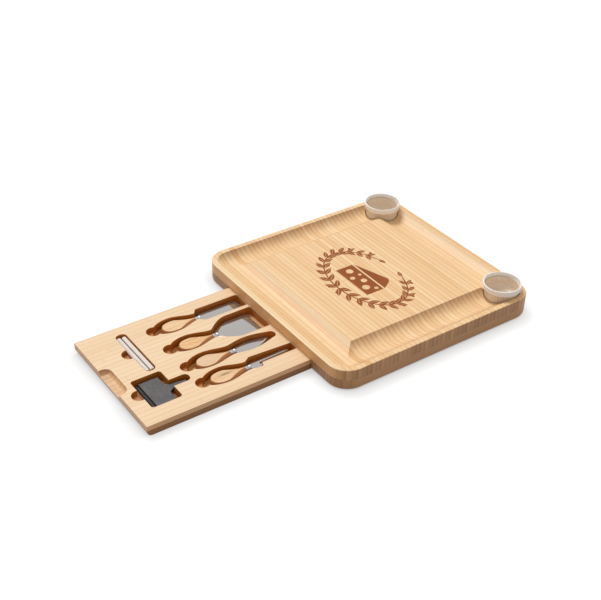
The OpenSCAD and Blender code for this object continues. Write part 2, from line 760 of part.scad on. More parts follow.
top_slab();
side_rail(-1);  // left_rail
side_rail(1);  // right_rail
back_rail();
board_magnets();
drawer_top_panel();
drawer_base_panel();
guide_pins();
drawer_magnets();
knife_handle(PLANE);  // plane_handle
knife_ferrule(PLANE);  // plane_ferrule
knife_blade(PLANE);  // plane_blade
knife_handle(SPATULA);  // spatula_handle
knife_ferrule(SPATULA);  // spatula_ferrule
knife_blade(SPATULA);  // spatula_blade
knife_handle(SPADE);  // spade_handle
knife_ferrule(SPADE);  // spade_ferrule
knife_blade(SPADE);  // spade_blade
knife_handle(FORK);  // fork_handle
knife_ferrule(FORK);  // fork_ferrule
knife_blade(FORK);  // fork_blade
bowl(-1);  // left_bowl
bowl(1);  // right_bowl
chalk(1);  // back_chalk
chalk(-1);  // front_chalk
slate(1);  // upper_slate
slate(0);  // lower_slate
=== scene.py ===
import math
import random

import bmesh
import bpy
from mathutils import Matrix, Vector, noise
from mathutils.geometry import tessellate_polygon


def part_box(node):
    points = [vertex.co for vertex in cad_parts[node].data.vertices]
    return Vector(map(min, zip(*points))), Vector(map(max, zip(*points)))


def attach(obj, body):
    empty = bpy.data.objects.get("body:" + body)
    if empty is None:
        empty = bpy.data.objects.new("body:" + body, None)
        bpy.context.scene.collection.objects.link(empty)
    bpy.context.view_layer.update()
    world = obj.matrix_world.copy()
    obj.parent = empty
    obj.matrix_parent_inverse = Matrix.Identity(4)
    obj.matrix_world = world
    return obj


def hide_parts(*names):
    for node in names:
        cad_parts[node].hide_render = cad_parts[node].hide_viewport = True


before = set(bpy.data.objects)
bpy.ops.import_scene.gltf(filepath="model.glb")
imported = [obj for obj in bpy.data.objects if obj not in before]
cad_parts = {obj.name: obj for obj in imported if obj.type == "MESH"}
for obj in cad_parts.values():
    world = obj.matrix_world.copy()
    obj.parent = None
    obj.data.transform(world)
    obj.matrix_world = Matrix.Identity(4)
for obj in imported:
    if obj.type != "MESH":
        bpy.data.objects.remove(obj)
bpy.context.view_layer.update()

MM = 0.001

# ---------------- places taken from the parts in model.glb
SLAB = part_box("top_slab")
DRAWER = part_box("drawer_top_panel")
BOARD_TOP = SLAB[1][2]
BOARD_CENTRE = (Vector(SLAB[0]) + Vector(SLAB[1])) / 2
DRAWER_TOP = DRAWER[1][2]
DRAWER_FRONT = DRAWER[0][1]

# ---------------- the knives, as in the CAD parts
KNIVES = ("plane", "spatula", "spade", "fork")
SPADE_TURN = math.radians(1.4)
SPADE_TIP_X = 2.5 * MM
HANDLE_LEN = 51 * MM
HANDLE_BELLY_AT = 33 * MM
HANDLE_NECK_R = 5 * MM
HANDLE_BELLY_DELAY = 1.3
HANDLE_EDGE = 0.35 * MM
FACET_INSET = 1.8 * MM
FACET_DELAY = 1.9
FACET_END = 48.8 * MM
FACET_MIN = 0.15 * MM
# near the neck the flat face is no wider, and no higher, than these shares of the radius
FACET_MAX_SHARE, FLAT_MAX_SHARE = 0.8, 0.94
SIDE_START = math.radians(65)
BLADE_GRIND = 2.2 * MM
BLADE_EDGE_T = 0.35 * MM
BLADE_ARRIS = 0.12 * MM
# where each blade has its full width, its step out from the ferrule, and the share of its
# thickness that its sides keep
BLADE_SHOULDER = {"plane": 2.6 * MM, "spatula": 27.9 * MM, "spade": 20.9 * MM, "fork": 4.5 * MM}
BLADE_STEP = {"plane": 0.6 * MM, "spatula": 0.4 * MM, "spade": 1.6 * MM, "fork": 0.5 * MM}
BLADE_SIDE = {"plane": 1.0, "spatula": 0.55, "spade": 0.45}
# a square blade's ground end, its corners, and the share of the grinding done before them
BLADE_END = 6 * MM
BLADE_CORNER_R = 2 * MM
BLADE_END_THIN = 0.6
SPADE_W = 18.8 * MM
SPADE_ROWS = 28
SPADE_THIN_FROM, SPADE_THIN_OVER = 0.9, 0.1
FORK_TIP_W = 12.8 * MM
FORK_SLOT_W = 4.2 * MM
FORK_SLOT_LEN = 45.5 * MM
FORK_RISE = math.radians(2.0)
FORK_ARRIS = 0.25 * MM
PRONG_TIP_R = 0.5 * MM
TANG_LEN = 14 * MM

# ---------------- the bowls
FLUTES = 44
FLUTE_DEPTH = 0.8 * MM
BOWL_BAND = 7.4 * MM
BOWL_WALL = 2.0 * MM
BOWL_LEDGE_DEPTH = 5.5 * MM
BOWL_LEDGE_W = 1.3 * MM
BOWL_FLOOR = 4.0 * MM
BOWL_FILLET = 9.0 * MM
BOWL_BODY_R = 24.3 * MM

# ---------------- chalk and slate
CHALK_WORN = (0.6 * MM, 0.9 * MM)
CHALK_PIT, CHALK_FINE_PIT = 0.07 * MM, 0.03 * MM
SLATE_PLATE_L = 27 * MM
SLATE_SHOULDER = 9 * MM
SLATE_SPIKE_ROOT = (4.5 * MM, 6.5 * MM)
SLATE_SPIKE_TIP = 1.6 * MM
CHIP_EVERY = 0.9 * MM
CHIP, CHIP_LARGE, CHIP_LARGE_SHARE = 0.16 * MM, 0.35 * MM, 0.03

# ---------------- the burnt ornament
ORNAMENT_AT = (5 * MM, -6 * MM)
WREATH_W = 74 * MM
WREATH_H = 47 * MM
STEM_W = 1.8 * MM
STEM_START, STEM_SWEEP, STEM_POINTS = -97, 166, 60
LEAF_LEN = 19 * MM
LEAF_W = 7.6 * MM
LEAF_RIB = 0.28 * MM
LEAF_LEAN = 0.66
LEAF_FIRST, LEAF_LAST, LEAF_EVERY = 3, 58, 5
LEAF_SHRINK = 0.25
BERRY_R = 2.0 * MM
# a berry's place in mm, outward and ahead of its leaves
BERRY_OUT, BERRY_AHEAD = 8.6, 6
DISC_POINTS = 20
BURN_LIFT = 0.02 * MM
BURN_T = 0.03 * MM
BURN_STEP = 0.003 * MM

# ---------------- camera and light
PHOTO_W = 601
CAMERA_AT = (0.991, -0.7059, 0.8725)
CAMERA_AZIMUTH = math.radians(54.341)
CAMERA_ELEVATION = math.radians(34.599)
CAMERA_ROLL = math.radians(1.3735)
FOCAL_PX = 1098.73
SENSOR = 36.0
CLIP_START = 0.05
KEY_AZIMUTH = math.radians(272)
KEY_ELEVATION = math.radians(57)
KEY_STRENGTH = 1.85
KEY_SPREAD = math.radians(24)
SKY_STRENGTH = 0.47
SKY_WARMTH = (1.0, 0.93, 0.85, 1.0)
FLOOR_HALF = 6.0
FLOOR_GLOW = 0.92
FLOOR_SHADE = 0.14
FLOOR_CONTACT = 0.56
FLOOR_CONTACT_REACH = 20 * MM
FLOOR_BOUNCE = (0.50, 0.465, 0.425, 1.0)


def srgb(red, green, blue):
    """A linear colour from 0-255 screen values."""
    def channel(c):
        c /= 255
        return c / 12.92 if c <= 0.04045 else ((c + 0.055) / 1.055) ** 2.4
    return (channel(red), channel(green), channel(blue), 1.0)


# the colours of a pocket's walls, of the shallow floors and of the deep ones, lighter and darker
POCKET_WALL = (srgb(212, 136, 48), srgb(166, 93, 27))
POCKET_FLOOR = (srgb(214, 140, 68), srgb(178, 106, 46))
DEEP_FLOOR = (srgb(244, 198, 134), srgb(226, 168, 100))
DEEP_FLOOR_AT = 11.2 * MM
TRAY_END = 88 * MM
TRAY_FLOOR_AT = (9.4 * MM, 10.0 * MM)
# the scoop's reach behind the drawer's front and to each side, and where its left end gets painted shade
SCOOP_END = 15 * MM
SCOOP_HALF = 29 * MM
SCOOP_SHADE = (-21 * MM, 2 * MM)
SCOOP_WOOD = (srgb(236, 192, 140), srgb(176, 120, 70))
# the tints of a slab's front and back strips, and the painted light on the groove's slopes that face the
# front
RIM_PALE = srgb(250, 229, 187)
RIM_BROWN = (0.93, 0.82, 0.66, 1.0)
SLOPE_PAINTED_LIGHT = srgb(255, 242, 216)
MARK_BROWN = (0.66, 0.60, 0.52, 1.0)

# widths of the bamboo strips, and of the outermost strips of the slab
SLAB_STRIP, RAIL_STRIP, DRAWER_STRIP, RIM_STRIP = 7.2 * MM, 6.5 * MM, 8.0 * MM, 6.5 * MM
# noise frequencies per metre along the fibres, across them and upright
WANDER = (7, 2, 2)
BROAD = (9, 620, 330)
FINE = (34, 2600, 1700)
PORES = (90, 4200, 3000)
PATCHES = (16, 60, 60)
END_DOTS = (300, 1900, 1900)
# the same along X, Y and Z
CLOUDS = (6, 6, 6)
SCORCH = (60, 60, 420)


# ================ material building
def feed(tree, socket, value):
    """Sets a socket to a value or links it to another node's output."""
    if isinstance(value, bpy.types.NodeSocket):
        tree.links.new(value, socket)
    elif value is not None:
        socket.default_value = value


def add_node(tree, kind, inputs=(), **settings):
    made = tree.nodes.new(kind)
    for key, value in settings.items():
        setattr(made, key, value)
    for key, value in dict(inputs).items():
        feed(tree, made.inputs[key], value)
    return made


class Shader:
    """Builds one node material; every method but finish returns output sockets."""

    def __init__(self, name):
        self.material = bpy.data.materials.new(name)
        self.material.use_nodes = True
        self.tree = self.material.node_tree
        self.bsdf = self.tree.nodes["Principled BSDF"]
        self.coords = self.tree.nodes.new("ShaderNodeTexCoord")

    def out(self, kind, inputs, socket=0, **settings):
        return add_node(self.tree, kind, inputs, **settings).outputs[socket]

    def math(self, operation, a, b=None, clamp=False):
        return self.out("ShaderNodeMath", {0: a, 1: b}, operation=operation, use_clamp=clamp)

    def add(self, a, b, clamp=False):
        return self.math("ADD", a, b, clamp)

    def sub(self, a, b):
        return self.math("SUBTRACT", a, b)

    def mul(self, a, b, clamp=False):
        return self.math("MULTIPLY", a, b, clamp)

    def total(self, *parts, clamp=False):
        value = parts[0]
        for i, part in enumerate(parts[1:], 2):
            value = self.add(value, part, clamp and i == len(parts))
        return value

    def abs(self, a):
        return self.math("ABSOLUTE", a)

    def rest(self, a):
        """What is left to 1."""
        return self.sub(1.0, a)

    def away(self, off_x, off_y):
        """The length of (off_x, off_y)."""
        squares = (self.math("POWER", off, 2.0) for off in (off_x, off_y))
        return self.math("SQRT", self.add(*squares))

    def split(self, socket):
        parts = add_node(self.tree, "ShaderNodeSeparateXYZ", {0: socket})
        return parts.outputs[0], parts.outputs[1], parts.outputs[2]

    def position(self):
        return self.split(self.coords.outputs["Object"])

    def normal(self):
        return self.split(self.coords.outputs["Normal"])

    def noise(self, point, frequency, detail=3.0, roughness=0.55, distortion=0.0):
        """Noise from 0 to 1 at a point, with a frequency along each of its axes."""
        scaled = {i: self.mul(*pair) for i, pair in enumerate(zip(point, frequency))}
        at = self.out("ShaderNodeCombineXYZ", scaled)
        return self.out("ShaderNodeTexNoise", {
            "Vector": at, "Scale": 1.0, "Detail": detail, "Roughness": roughness,
            "Distortion": distortion}, "Fac")

    def random(self, value):
        """A random number from 0 to 1 for each whole value."""
        return self.out("ShaderNodeTexWhiteNoise", {"W": value}, "Value", noise_dimensions="1D")

    def step(self, value, low, high):
        """0 below low and 1 above high, smooth between."""
        return self.out("ShaderNodeMapRange", {0: value, 1: low, 2: high},
                        interpolation_type="SMOOTHSTEP")

    def fall(self, value, low, high):
        """1 below low and 0 above high, smooth between."""
        return self.rest(self.step(value, low, high))

    def ramp(self, value, low, high):
        """From low to high as value goes from 0 to 1."""
        return self.out("ShaderNodeMapRange", {0: value, 3: low, 4: high})

    def mix(self, factor, a, b, blend="MIX"):
        return self.out("ShaderNodeMix", {0: factor, 6: a, 7: b}, 2,
                        data_type="RGBA", blend_type=blend, clamp_factor=True)

    def bump(self, height, distance, strength, normal=None):
        return self.out("ShaderNodeBump", {
            "Height": height, "Distance": distance, "Strength": strength, "Normal": normal})

    def soft_edges(self, radius):
        return self.out("ShaderNodeBevel", {"Radius": radius}, samples=6)

    def finish(self, **sockets):
        """Sets the named sockets of the surface and returns the material."""
        for key, value in sockets.items():
            feed(self.tree, self.bsdf.inputs[key.replace("_", " ")], value)
        return self.material


def darker(colour, factor):
    return tuple(factor * c for c in colour[:3]) + (1.0,)


def bamboo(name, along, face, side, end, strip, seed=0.0, edge=0.5 * MM, pocket=None, burnt=None,
           weights=(0.30, 0.30, 0.14, 0.40), bars=(0.30, 0.30, 0.45), rims=None):
    """Laminated bamboo: strips side by side, fibres along them, knuckles across them, dotted end grain.

    face, side and end are (wood, seam) colours of the lying faces, the upright long-grain faces and
    the faces across the fibres. pocket is (top, front, half width) of a panel whose cut pockets are
    browned by the cutter, with painted shade that darkens their walls toward the floor, on the slate
    pocket's floor and at the scoop's left end. burnt is the colour that a burnt mark on the wood has.
    weights are the shares of strip tint, broad fibres, fine fibres and odd dark strips in the long
    grain; bars are those of strip tint, dots and rind in the end grain. rims is (front end, back end,
    width) of a slab whose outermost strips are paler in front and browner behind, with painted light
    on the slopes that face the front."""
    s = Shader(name)
    at = x, y, z = s.position()
    nx, ny, nz = s.normal()
    u, v = (x, y) if along == "x" else (y, x)
    nu = nx if along == "x" else ny
    # each strip has its own tint
    wander = s.noise((u, v, z), WANDER, 1)
    place = s.add(s.math("DIVIDE", v, strip), s.mul(wander, 0.10))
    place = s.add(place, 200.0 + seed)
    cell = s.math("FLOOR", place)
    across = s.math("FRACT", place)
    tint = s.random(cell)
    tint_two = s.random(s.add(cell, 0.37))
    # fibres, fine and broad
    fibre = (s.add(u, s.mul(tint, 3.0)), v, z)
    broad = s.noise(fibre, BROAD)
    fine = s.noise(fibre, FINE)
    pores = s.step(s.noise(fibre, PORES, 2), 0.60, 0.72)
    cloud = s.noise(at, CLOUDS, 2)
    patch = s.noise(fibre, PATCHES, 2)
    # seams between the strips, each with its own strength along the board
    from_seam = s.abs(s.sub(across, 0.5))
    near_seam = s.step(from_seam, 0.36, 0.49)
    seam = s.mul(near_seam, s.ramp(patch, 0.10, 1.6))
    hair = s.step(from_seam, 0.472, 0.495)
    # knuckles at their own places along each strip
    knuckle_at = s.math("FRACT", s.add(s.mul(u, 3.1), s.mul(tint_two, 7.0)))
    knuckle = s.fall(s.abs(s.sub(knuckle_at, 0.5)), 0.002, 0.009)
    knuckle = s.mul(knuckle, s.step(fine, 0.35, 0.65))
    # long grain
    tone = s.total(s.mul(tint, weights[0]), s.mul(s.step(broad, 0.34, 0.68), weights[1]),
                   s.mul(s.step(fine, 0.35, 0.7), weights[2]),
                   s.mul(s.step(tint_two, 0.90, 0.95), weights[3]),
                   s.mul(s.sub(cloud, 0.5), 0.30), clamp=True)
    lying = s.step(s.abs(nz), 0.10, 0.40)
    wood = s.mix(lying, side[0], face[0])
    line = s.mix(lying, side[1], face[1])
    long_grain = s.mix(s.mul(tone, 0.8), wood, line)
    long_grain = s.mix(s.mul(seam, 0.75), long_grain, line)
    marks = s.math("MAXIMUM", s.mul(hair, s.ramp(broad, 0.2, 0.75)), s.mul(pores, 0.5))
    marks = s.math("MAXIMUM", marks, s.mul(knuckle, 0.8))
    stained = s.mix(1.0, line, MARK_BROWN, "MULTIPLY")
    long_grain = s.mix(s.mul(marks, 0.30), long_grain, stained)
    # end grain: dots, darker toward each strip's outer side
    dots = s.step(s.noise((u, v, z), END_DOTS, roughness=0.7), 0.42, 0.66)
    rind = s.step(across, 0.30, 1.0)
    end_tone = s.total(s.mul(tint_two, bars[0]), s.mul(dots, bars[1]), s.mul(rind, bars[2]), clamp=True)
    end_grain = s.mix(end_tone, *end)
    end_grain = s.mix(s.mul(hair, 0.65), end_grain, darker(end[1], 0.5))
    tilt = s.step(s.abs(nu), 0.15, 0.97)
    colour = s.mix(tilt, long_grain, end_grain)
    slant_seam = s.mul(s.mul(s.step(from_seam, 0.38, 0.49), tilt), lying)
    colour = s.mix(s.mul(slant_seam, 0.55), colour, darker(end[1], 0.75))
    if rims is not None:
        front_rim = s.fall(v, rims[0] + rims[2], rims[0] + 1.3 * rims[2])
        back_rim = s.step(v, rims[1] - 1.3 * rims[2], rims[1] - rims[2])
        colour = s.mix(s.mul(front_rim, lying), colour, s.mix(0.45, colour, RIM_PALE))
        browner = s.mix(1.0, colour, RIM_BROWN, "MULTIPLY")
        colour = s.mix(s.mul(back_rim, lying), colour, browner)
        # painted light: slopes that face the front are paler, as if lit from the front
        painted_front_light = s.mul(s.step(s.mul(ny, -1.0), 0.20, 0.60), lying)
        colour = s.mix(s.mul(painted_front_light, 0.36), colour, SLOPE_PAINTED_LIGHT)
    if pocket is not None:
        top, front, half = pocket
        inside = s.mul(s.step(y, front + 0.3 * MM, front + 0.6 * MM),
                       s.fall(s.abs(x), half - 0.6 * MM, half - 0.3 * MM))
        depth = s.sub(top, z)
        below = s.step(depth, 0.15 * MM, 0.5 * MM)
        behind = s.step(y, front + SCOOP_END, front + SCOOP_END + 1 * MM)
        beside = s.step(s.abs(x), SCOOP_HALF, SCOOP_HALF + 1 * MM)
        elsewhere = s.math("MAXIMUM", behind, beside)
        hollow = s.mul(inside, below)
        cut = s.mul(hollow, elsewhere)
        scooped = s.mul(hollow, s.rest(elsewhere))
        # the scoop's tone: its strips and fibres, and painted shade that darkens its left end
        layer = s.total(s.mul(near_seam, 0.35), s.mul(tint, 0.35), s.mul(broad, 0.25),
                        s.mul(s.fall(x, *SCOOP_SHADE), 0.35), clamp=True)
        colour = s.mix(s.mul(scooped, 0.75), colour, s.mix(layer, *SCOOP_WOOD))
        wall = s.fall(s.abs(nz), 0.3, 0.8)
        # scorch of the cutter, and painted shade that darkens the pocket walls toward the floor
        scorch_and_shade = s.noise(at, SCORCH)
        scorch_and_shade = s.add(s.step(scorch_and_shade, 0.25, 0.75), s.mul(depth, 60.0))
        wall_colour = s.mix(s.mul(scorch_and_shade, 0.62, clamp=True), *POCKET_WALL)
        wall_colour = s.mix(s.mul(fine, 0.30), wall_colour, darker(POCKET_WALL[1], 0.6))
        floor_tone = s.add(s.mul(broad, 0.6), s.mul(fine, 0.5), clamp=True)
        deep = s.step(depth, DEEP_FLOOR_AT, DEEP_FLOOR_AT + 1 * MM)
        floor_colour = s.mix(deep, s.mix(floor_tone, *POCKET_FLOOR), s.mix(floor_tone, *DEEP_FLOOR))
        # the slate pocket's floor, near the drawer's front and below the finger notches, gets painted shade
        tray_shade = s.fall(y, front + TRAY_END, front + TRAY_END + 1 * MM)
        tray_shade = s.mul(tray_shade, s.step(depth, *TRAY_FLOOR_AT))
        floor_colour = s.mix(s.mul(tray_shade, 0.7), floor_colour, darker(POCKET_FLOOR[1], 0.35))
        colour = s.mix(cut, colour, s.mix(wall, floor_colour, wall_colour))
    if burnt is not None:
        char = s.mix(s.step(broad, 0.3, 0.7), burnt, darker(burnt, 0.86))
        colour = s.mix(s.mul(marks, 0.35), char, darker(burnt, 0.6))
    relief = s.sub(s.mul(fine, 0.5), s.mul(marks, 0.7))
    rough = s.ramp(s.add(s.mul(broad, 0.6), s.mul(marks, 0.4)), 0.40, 0.62)
    rounded = s.soft_edges(edge) if edge else None
    return s.finish(Base_Color=colour, Roughness=rough, Normal=s.bump(relief, 0.06 * MM, 0.6, rounded),
                    Specular_IOR_Level=0.15 if burnt else 0.42, Coat_Weight=0.0 if burnt else 0.05,
                    Coat_Roughness=0.35)


def handle_wood(name, pale, dark, knot=None, seed=0.0):
    """Oiled hardwood: growth rings on the flat faces, turned sides browner from their grain and from painted
    shade, and a knot if given.
    """
    s = Shader(name)
    at = x, y, z = s.position()
    nz = s.normal()[2]
    bend = s.noise(at, (34, 16, 34), 2)
    rings = s.add(s.add(s.mul(x, 330.0), s.mul(bend, 11.0)), s.add(s.mul(z, 240.0), seed))
    ring = s.math("FRACT", rings)
    ring = s.mul(s.step(ring, 0.25, 0.85), s.fall(ring, 0.88, 1.0))
    ring = s.mul(ring, s.ramp(s.random(s.math("FLOOR", rings)), 0.25, 1.0))
    fibre = s.noise(at, (2300, 60, 2300))
    vessels = s.step(s.noise(at, (3600, 140, 3600), 2), 0.58, 0.70)
    tone = s.add(s.mul(ring, 0.75), s.mul(s.step(fibre, 0.3, 0.7), 0.35), clamp=True)
    colour = s.mix(tone, pale, dark)
    colour = s.mix(s.mul(vessels, 0.4), colour, darker(dark, 0.5))
    # the turned sides are browner, partly from their grain and partly from painted shade
    side = s.fall(s.abs(nz), 0.965, 0.995)
    side_wood_and_shade = s.mix(s.step(fibre, 0.3, 0.7), srgb(190, 120, 48), srgb(154, 88, 28))
    colour = s.mix(s.mul(side, 0.95), colour, side_wood_and_shade)
    if knot is not None:
        off_x = s.mul(s.sub(x, knot[0]), 300.0)
        off_y = s.mul(s.sub(y, knot[1]), 88.0)
        off_x = s.add(off_x, s.mul(s.sub(bend, 0.5), 3.0))
        away = s.away(off_x, off_y)
        halo = s.fall(away, 0.5, 3.2)
        colour = s.mix(s.mul(halo, 0.15), colour, srgb(150, 116, 78))
        streak = s.fall(s.add(away, fibre), 0.6, 1.7)
        colour = s.mix(s.mul(streak, 0.65), colour, srgb(92, 70, 46))
    relief = s.sub(s.mul(fibre, 0.4), vessels)
    return s.finish(Base_Color=colour, Roughness=s.ramp(fibre, 0.32, 0.48), Specular_IOR_Level=0.45,
                    Coat_Weight=0.15, Coat_Roughness=0.3, Normal=s.bump(relief, 0.03 * MM, 0.5))


def steel(name, colour, dark, low_rough, high_rough, brush, relief, metal=1.0):
    """Metal with brush lines along Y and faint smudges; metal below 1 leaves a milky share."""
    s = Shader(name)
    at = s.position()
    lines = s.noise(at, (brush, 25, brush), 4, roughness=0.7)
    grit = s.noise(at, (2600, 2600, 2600), 2)
    smudge = s.noise(at, (60, 40, 60))
    tone = s.add(s.mul(lines, 0.5), s.mul(grit, 0.5))
    tint = s.mix(s.step(tone, 0.3, 0.7), dark, colour)
    rough = s.ramp(s.add(s.mul(lines, 0.5), s.mul(smudge, 0.5)), low_rough, high_rough)
    height = s.add(s.mul(lines, 0.6), s.mul(grit, 0.4))
    return s.finish(Base_Color=tint, Metallic=metal, Roughness=rough,
                    Normal=s.bump(height, relief, 0.5))


def glaze(name, centre, rim_r, top):
    """White glaze over stoneware, with painted shade inside the cup, along its ledge and in the flutes, and
    a painted warm reflection of the wood on the outside wall.
    """
    s = Shader(name)
    at = x, y, z = s.position()
    off_x = s.sub(x, centre[0])
    off_y = s.sub(y, centre[1])
    angle = s.math("ARCTAN2", off_y, off_x)
    away = s.away(off_x, off_y)
    pool = s.noise(at, (90, 90, 60), 2)
    speck = s.step(s.noise(at, (1500, 1500, 1500), 1), 0.74, 0.78)
    colour = s.mix(s.step(pool, 0.35, 0.7), srgb(255, 255, 255), srgb(253, 252, 250))
    colour = s.mix(s.mul(speck, 0.25), colour, srgb(196, 180, 160))
    # painted shade inside the cup, a little warm
    cup = s.fall(away, rim_r - BOWL_WALL - 0.6 * MM, rim_r - BOWL_WALL)
    cup = s.mul(cup, s.fall(z, top - 2.4 * MM, top - 1.4 * MM))
    colour = s.mix(cup, colour, srgb(240, 224, 206))
    # a painted shade line along the ledge inside the cup
    ledge = s.abs(s.sub(z, top - BOWL_LEDGE_DEPTH))
    ledge = s.mul(cup, s.fall(ledge, 0.3 * MM, 1.3 * MM))
    colour = s.mix(s.mul(ledge, 0.6), colour, srgb(196, 178, 158))
    outer = s.rest(cup)
    # painted reflection of the wood: the outside wall below the rim band is warmer
    wall = s.mul(outer, s.fall(z, top - BOWL_BAND - 1.6 * MM, top - BOWL_BAND))
    # painted shade in the valleys of the flutes
    flute_shade = s.abs(s.math("SINE", s.mul(angle, FLUTES / 2)))
    flute_shade = s.mul(wall, s.step(flute_shade, 0.55, 1.0))
    colour = s.mix(s.mul(wall, 0.75), colour, srgb(234, 194, 156))
    colour = s.mix(s.mul(flute_shade, 0.8), colour, srgb(146, 114, 88))
    ripple = s.noise(at, (160, 160, 160), 2)
    return s.finish(Base_Color=colour, Roughness=s.ramp(pool, 0.28, 0.40), Specular_IOR_Level=0.45,
                    Coat_Weight=0.12, Coat_Roughness=0.2, Normal=s.bump(ripple, 0.05 * MM, 0.2))


def chalk_white(between):
    """Dusty pressed chalk with pits, rubbed grey patches and painted shade in the gap between the two
    sticks.
    """
    s = Shader("chalk")
    at = s.position()
    grain = s.noise(at, (1800, 1800, 1800), 4, roughness=0.7)
    pits = s.step(s.noise(at, (700, 900, 900), 2), 0.66, 0.74)
    rubbed = s.noise(at, (60, 200, 200), 2)
    colour = s.mix(s.step(rubbed, 0.4, 0.8), srgb(240, 237, 232), srgb(230, 226, 220))
    colour = s.mix(s.mul(pits, 0.4), colour, srgb(190, 186, 180))
    # painted shade in the gap between the two sticks
    gap_shade = s.fall(s.abs(s.sub(at[1], between)), 0.4 * MM, 1.0 * MM)
    colour = s.mix(gap_shade, colour, srgb(188, 150, 116))
    relief = s.sub(grain, s.mul(pits, 0.8))
    return s.finish(Base_Color=colour, Roughness=s.ramp(grain, 0.85, 1.0), Specular_IOR_Level=0.2,
                    Normal=s.bump(relief, 0.12 * MM, 0.8))


def slate_stone(name, shade):
    """Split slate: fine layers, pale specks and painted shade that makes its upright edges near-black; shade
    is painted shade that darkens the whole.
    """
    s = Shader(name)
    at = s.position()
    nz = s.normal()[2]
    layers = s.noise(at, (120, 170, 60), 5, roughness=0.65, distortion=0.6)
    grain = s.noise(at, (1500, 1500, 1500), 3, roughness=0.7)
    specks = s.step(s.noise(at, (2400, 2400, 2400), 1), 0.68, 0.76)
    tone = s.add(s.mul(layers, 0.3), s.mul(grain, 0.7))
    colour = s.mix(s.step(tone, 0.38, 0.62), srgb(76, 76, 78), srgb(112, 112, 113))
    colour = s.mix(s.mul(specks, 0.55), colour, srgb(164, 164, 164))
    # painted shade: the upright edges are near-black
    slate_side_shade = s.fall(s.abs(nz), 0.35, 0.75)
    colour = s.mix(s.mul(slate_side_shade, 0.9), colour, srgb(34, 33, 34))
    # shade is painted shade over the whole plate
    colour = s.mix(shade, colour, srgb(26, 25, 26))
    relief = s.add(s.mul(layers, 0.8), s.mul(grain, 0.3))
    return s.finish(Base_Color=colour, Roughness=s.ramp(grain, 0.6, 0.85), Specular_IOR_Level=0.35,
                    Normal=s.bump(relief, 0.25 * MM, 0.7, s.soft_edges(0.3 * MM)))


# ================ mesh building
def make_object(name, vertices, faces, material, smooth_angle):
    """A mesh object with outward faces, smooth below an angle in degrees."""
    mesh = bpy.data.meshes.new(name)
    mesh.from_pydata([tuple(v) for v in vertices], [], faces)
    bm = bmesh.new()
    bm.from_mesh(mesh)
    bmesh.ops.recalc_face_normals(bm, faces=bm.faces)
    bm.to_mesh(mesh)
    bm.free()
    mesh.shade_smooth()
    mesh.set_sharp_from_angle(angle=math.radians(smooth_angle))
    mesh.materials.append(material)
    made = bpy.data.objects.new(name, mesh)
    bpy.context.scene.collection.objects.link(made)
    return made


def skin(rings):
    """Vertices and faces of a tube through closed rings of equal length, capped at both ends."""
    count = len(rings[0])
    vertices = [p for ring in rings for p in ring]
    faces = []
    for i in range(len(rings) - 1):
        for j in range(count):
            a, b = i * count + j, i * count + (j + 1) % count
            faces.append((a, b, b + count, a + count))
    faces.append(tuple(range(count))[::-1])
    faces.append(tuple(range((len(rings) - 1) * count, len(rings) * count)))
    return vertices, faces


def lathe(profile, segments, place, shape=None):
    """Turns (radius, height) points about the local Z axis; shape may change each radius."""
    rings = []
    for radius, height in profile:
        ring = []
        for j in range(segments):
            angle = 2 * math.pi * j / segments
            r = shape(radius, height, angle) if shape else radius
            ring.append(place @ Vector((r * math.cos(angle), r * math.sin(angle), height)))
        rings.append(ring)
    return skin(rings)


def arc(centre_x, centre_y, radius, start, end, steps):
    """Points on an arc, angles in degrees."""
    return [(centre_x + radius * math.cos(math.radians(start + (end - start) * i / steps)),
             centre_y + radius * math.sin(math.radians(start + (end - start) * i / steps)))
            for i in range(steps + 1)]


def plate(outline, low, high, place):
    """A flat plate with the given outline between two heights."""
    count = len(outline)
    vertices = [place @ Vector((x, y, low)) for x, y in outline]
    vertices += [place @ Vector((x, y, high)) for x, y in outline]
    faces = [tuple(range(count))[::-1], tuple(range(count, 2 * count))]
    faces += [(i, (i + 1) % count, (i + 1) % count + count, i + count) for i in range(count)]
    return vertices, faces


def swell(t):
    """From 0 to 1, fast at first and level at the end."""
    return math.sin(math.pi / 2 * min(1.0, max(0.0, t)))


def round_off(s, start, end):
    """From 1 at start to 0 at end, along a quarter of an ellipse."""
    past = (s - start) / (end - start)
    return math.sqrt(max(0.0, 1 - past * past))


def add_bevel(piece, width, segments, angle):
    bevel = piece.modifiers.new("edge", "BEVEL")
    bevel.width = width
    bevel.segments = segments
    bevel.limit_method = "ANGLE"
    bevel.angle_limit = math.radians(angle)
    bevel.harden_normals = True


def box_centre(node):
    low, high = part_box(node)
    return (Vector(low) + Vector(high)) / 2


def box_size(node):
    low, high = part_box(node)
    return Vector(high) - Vector(low)


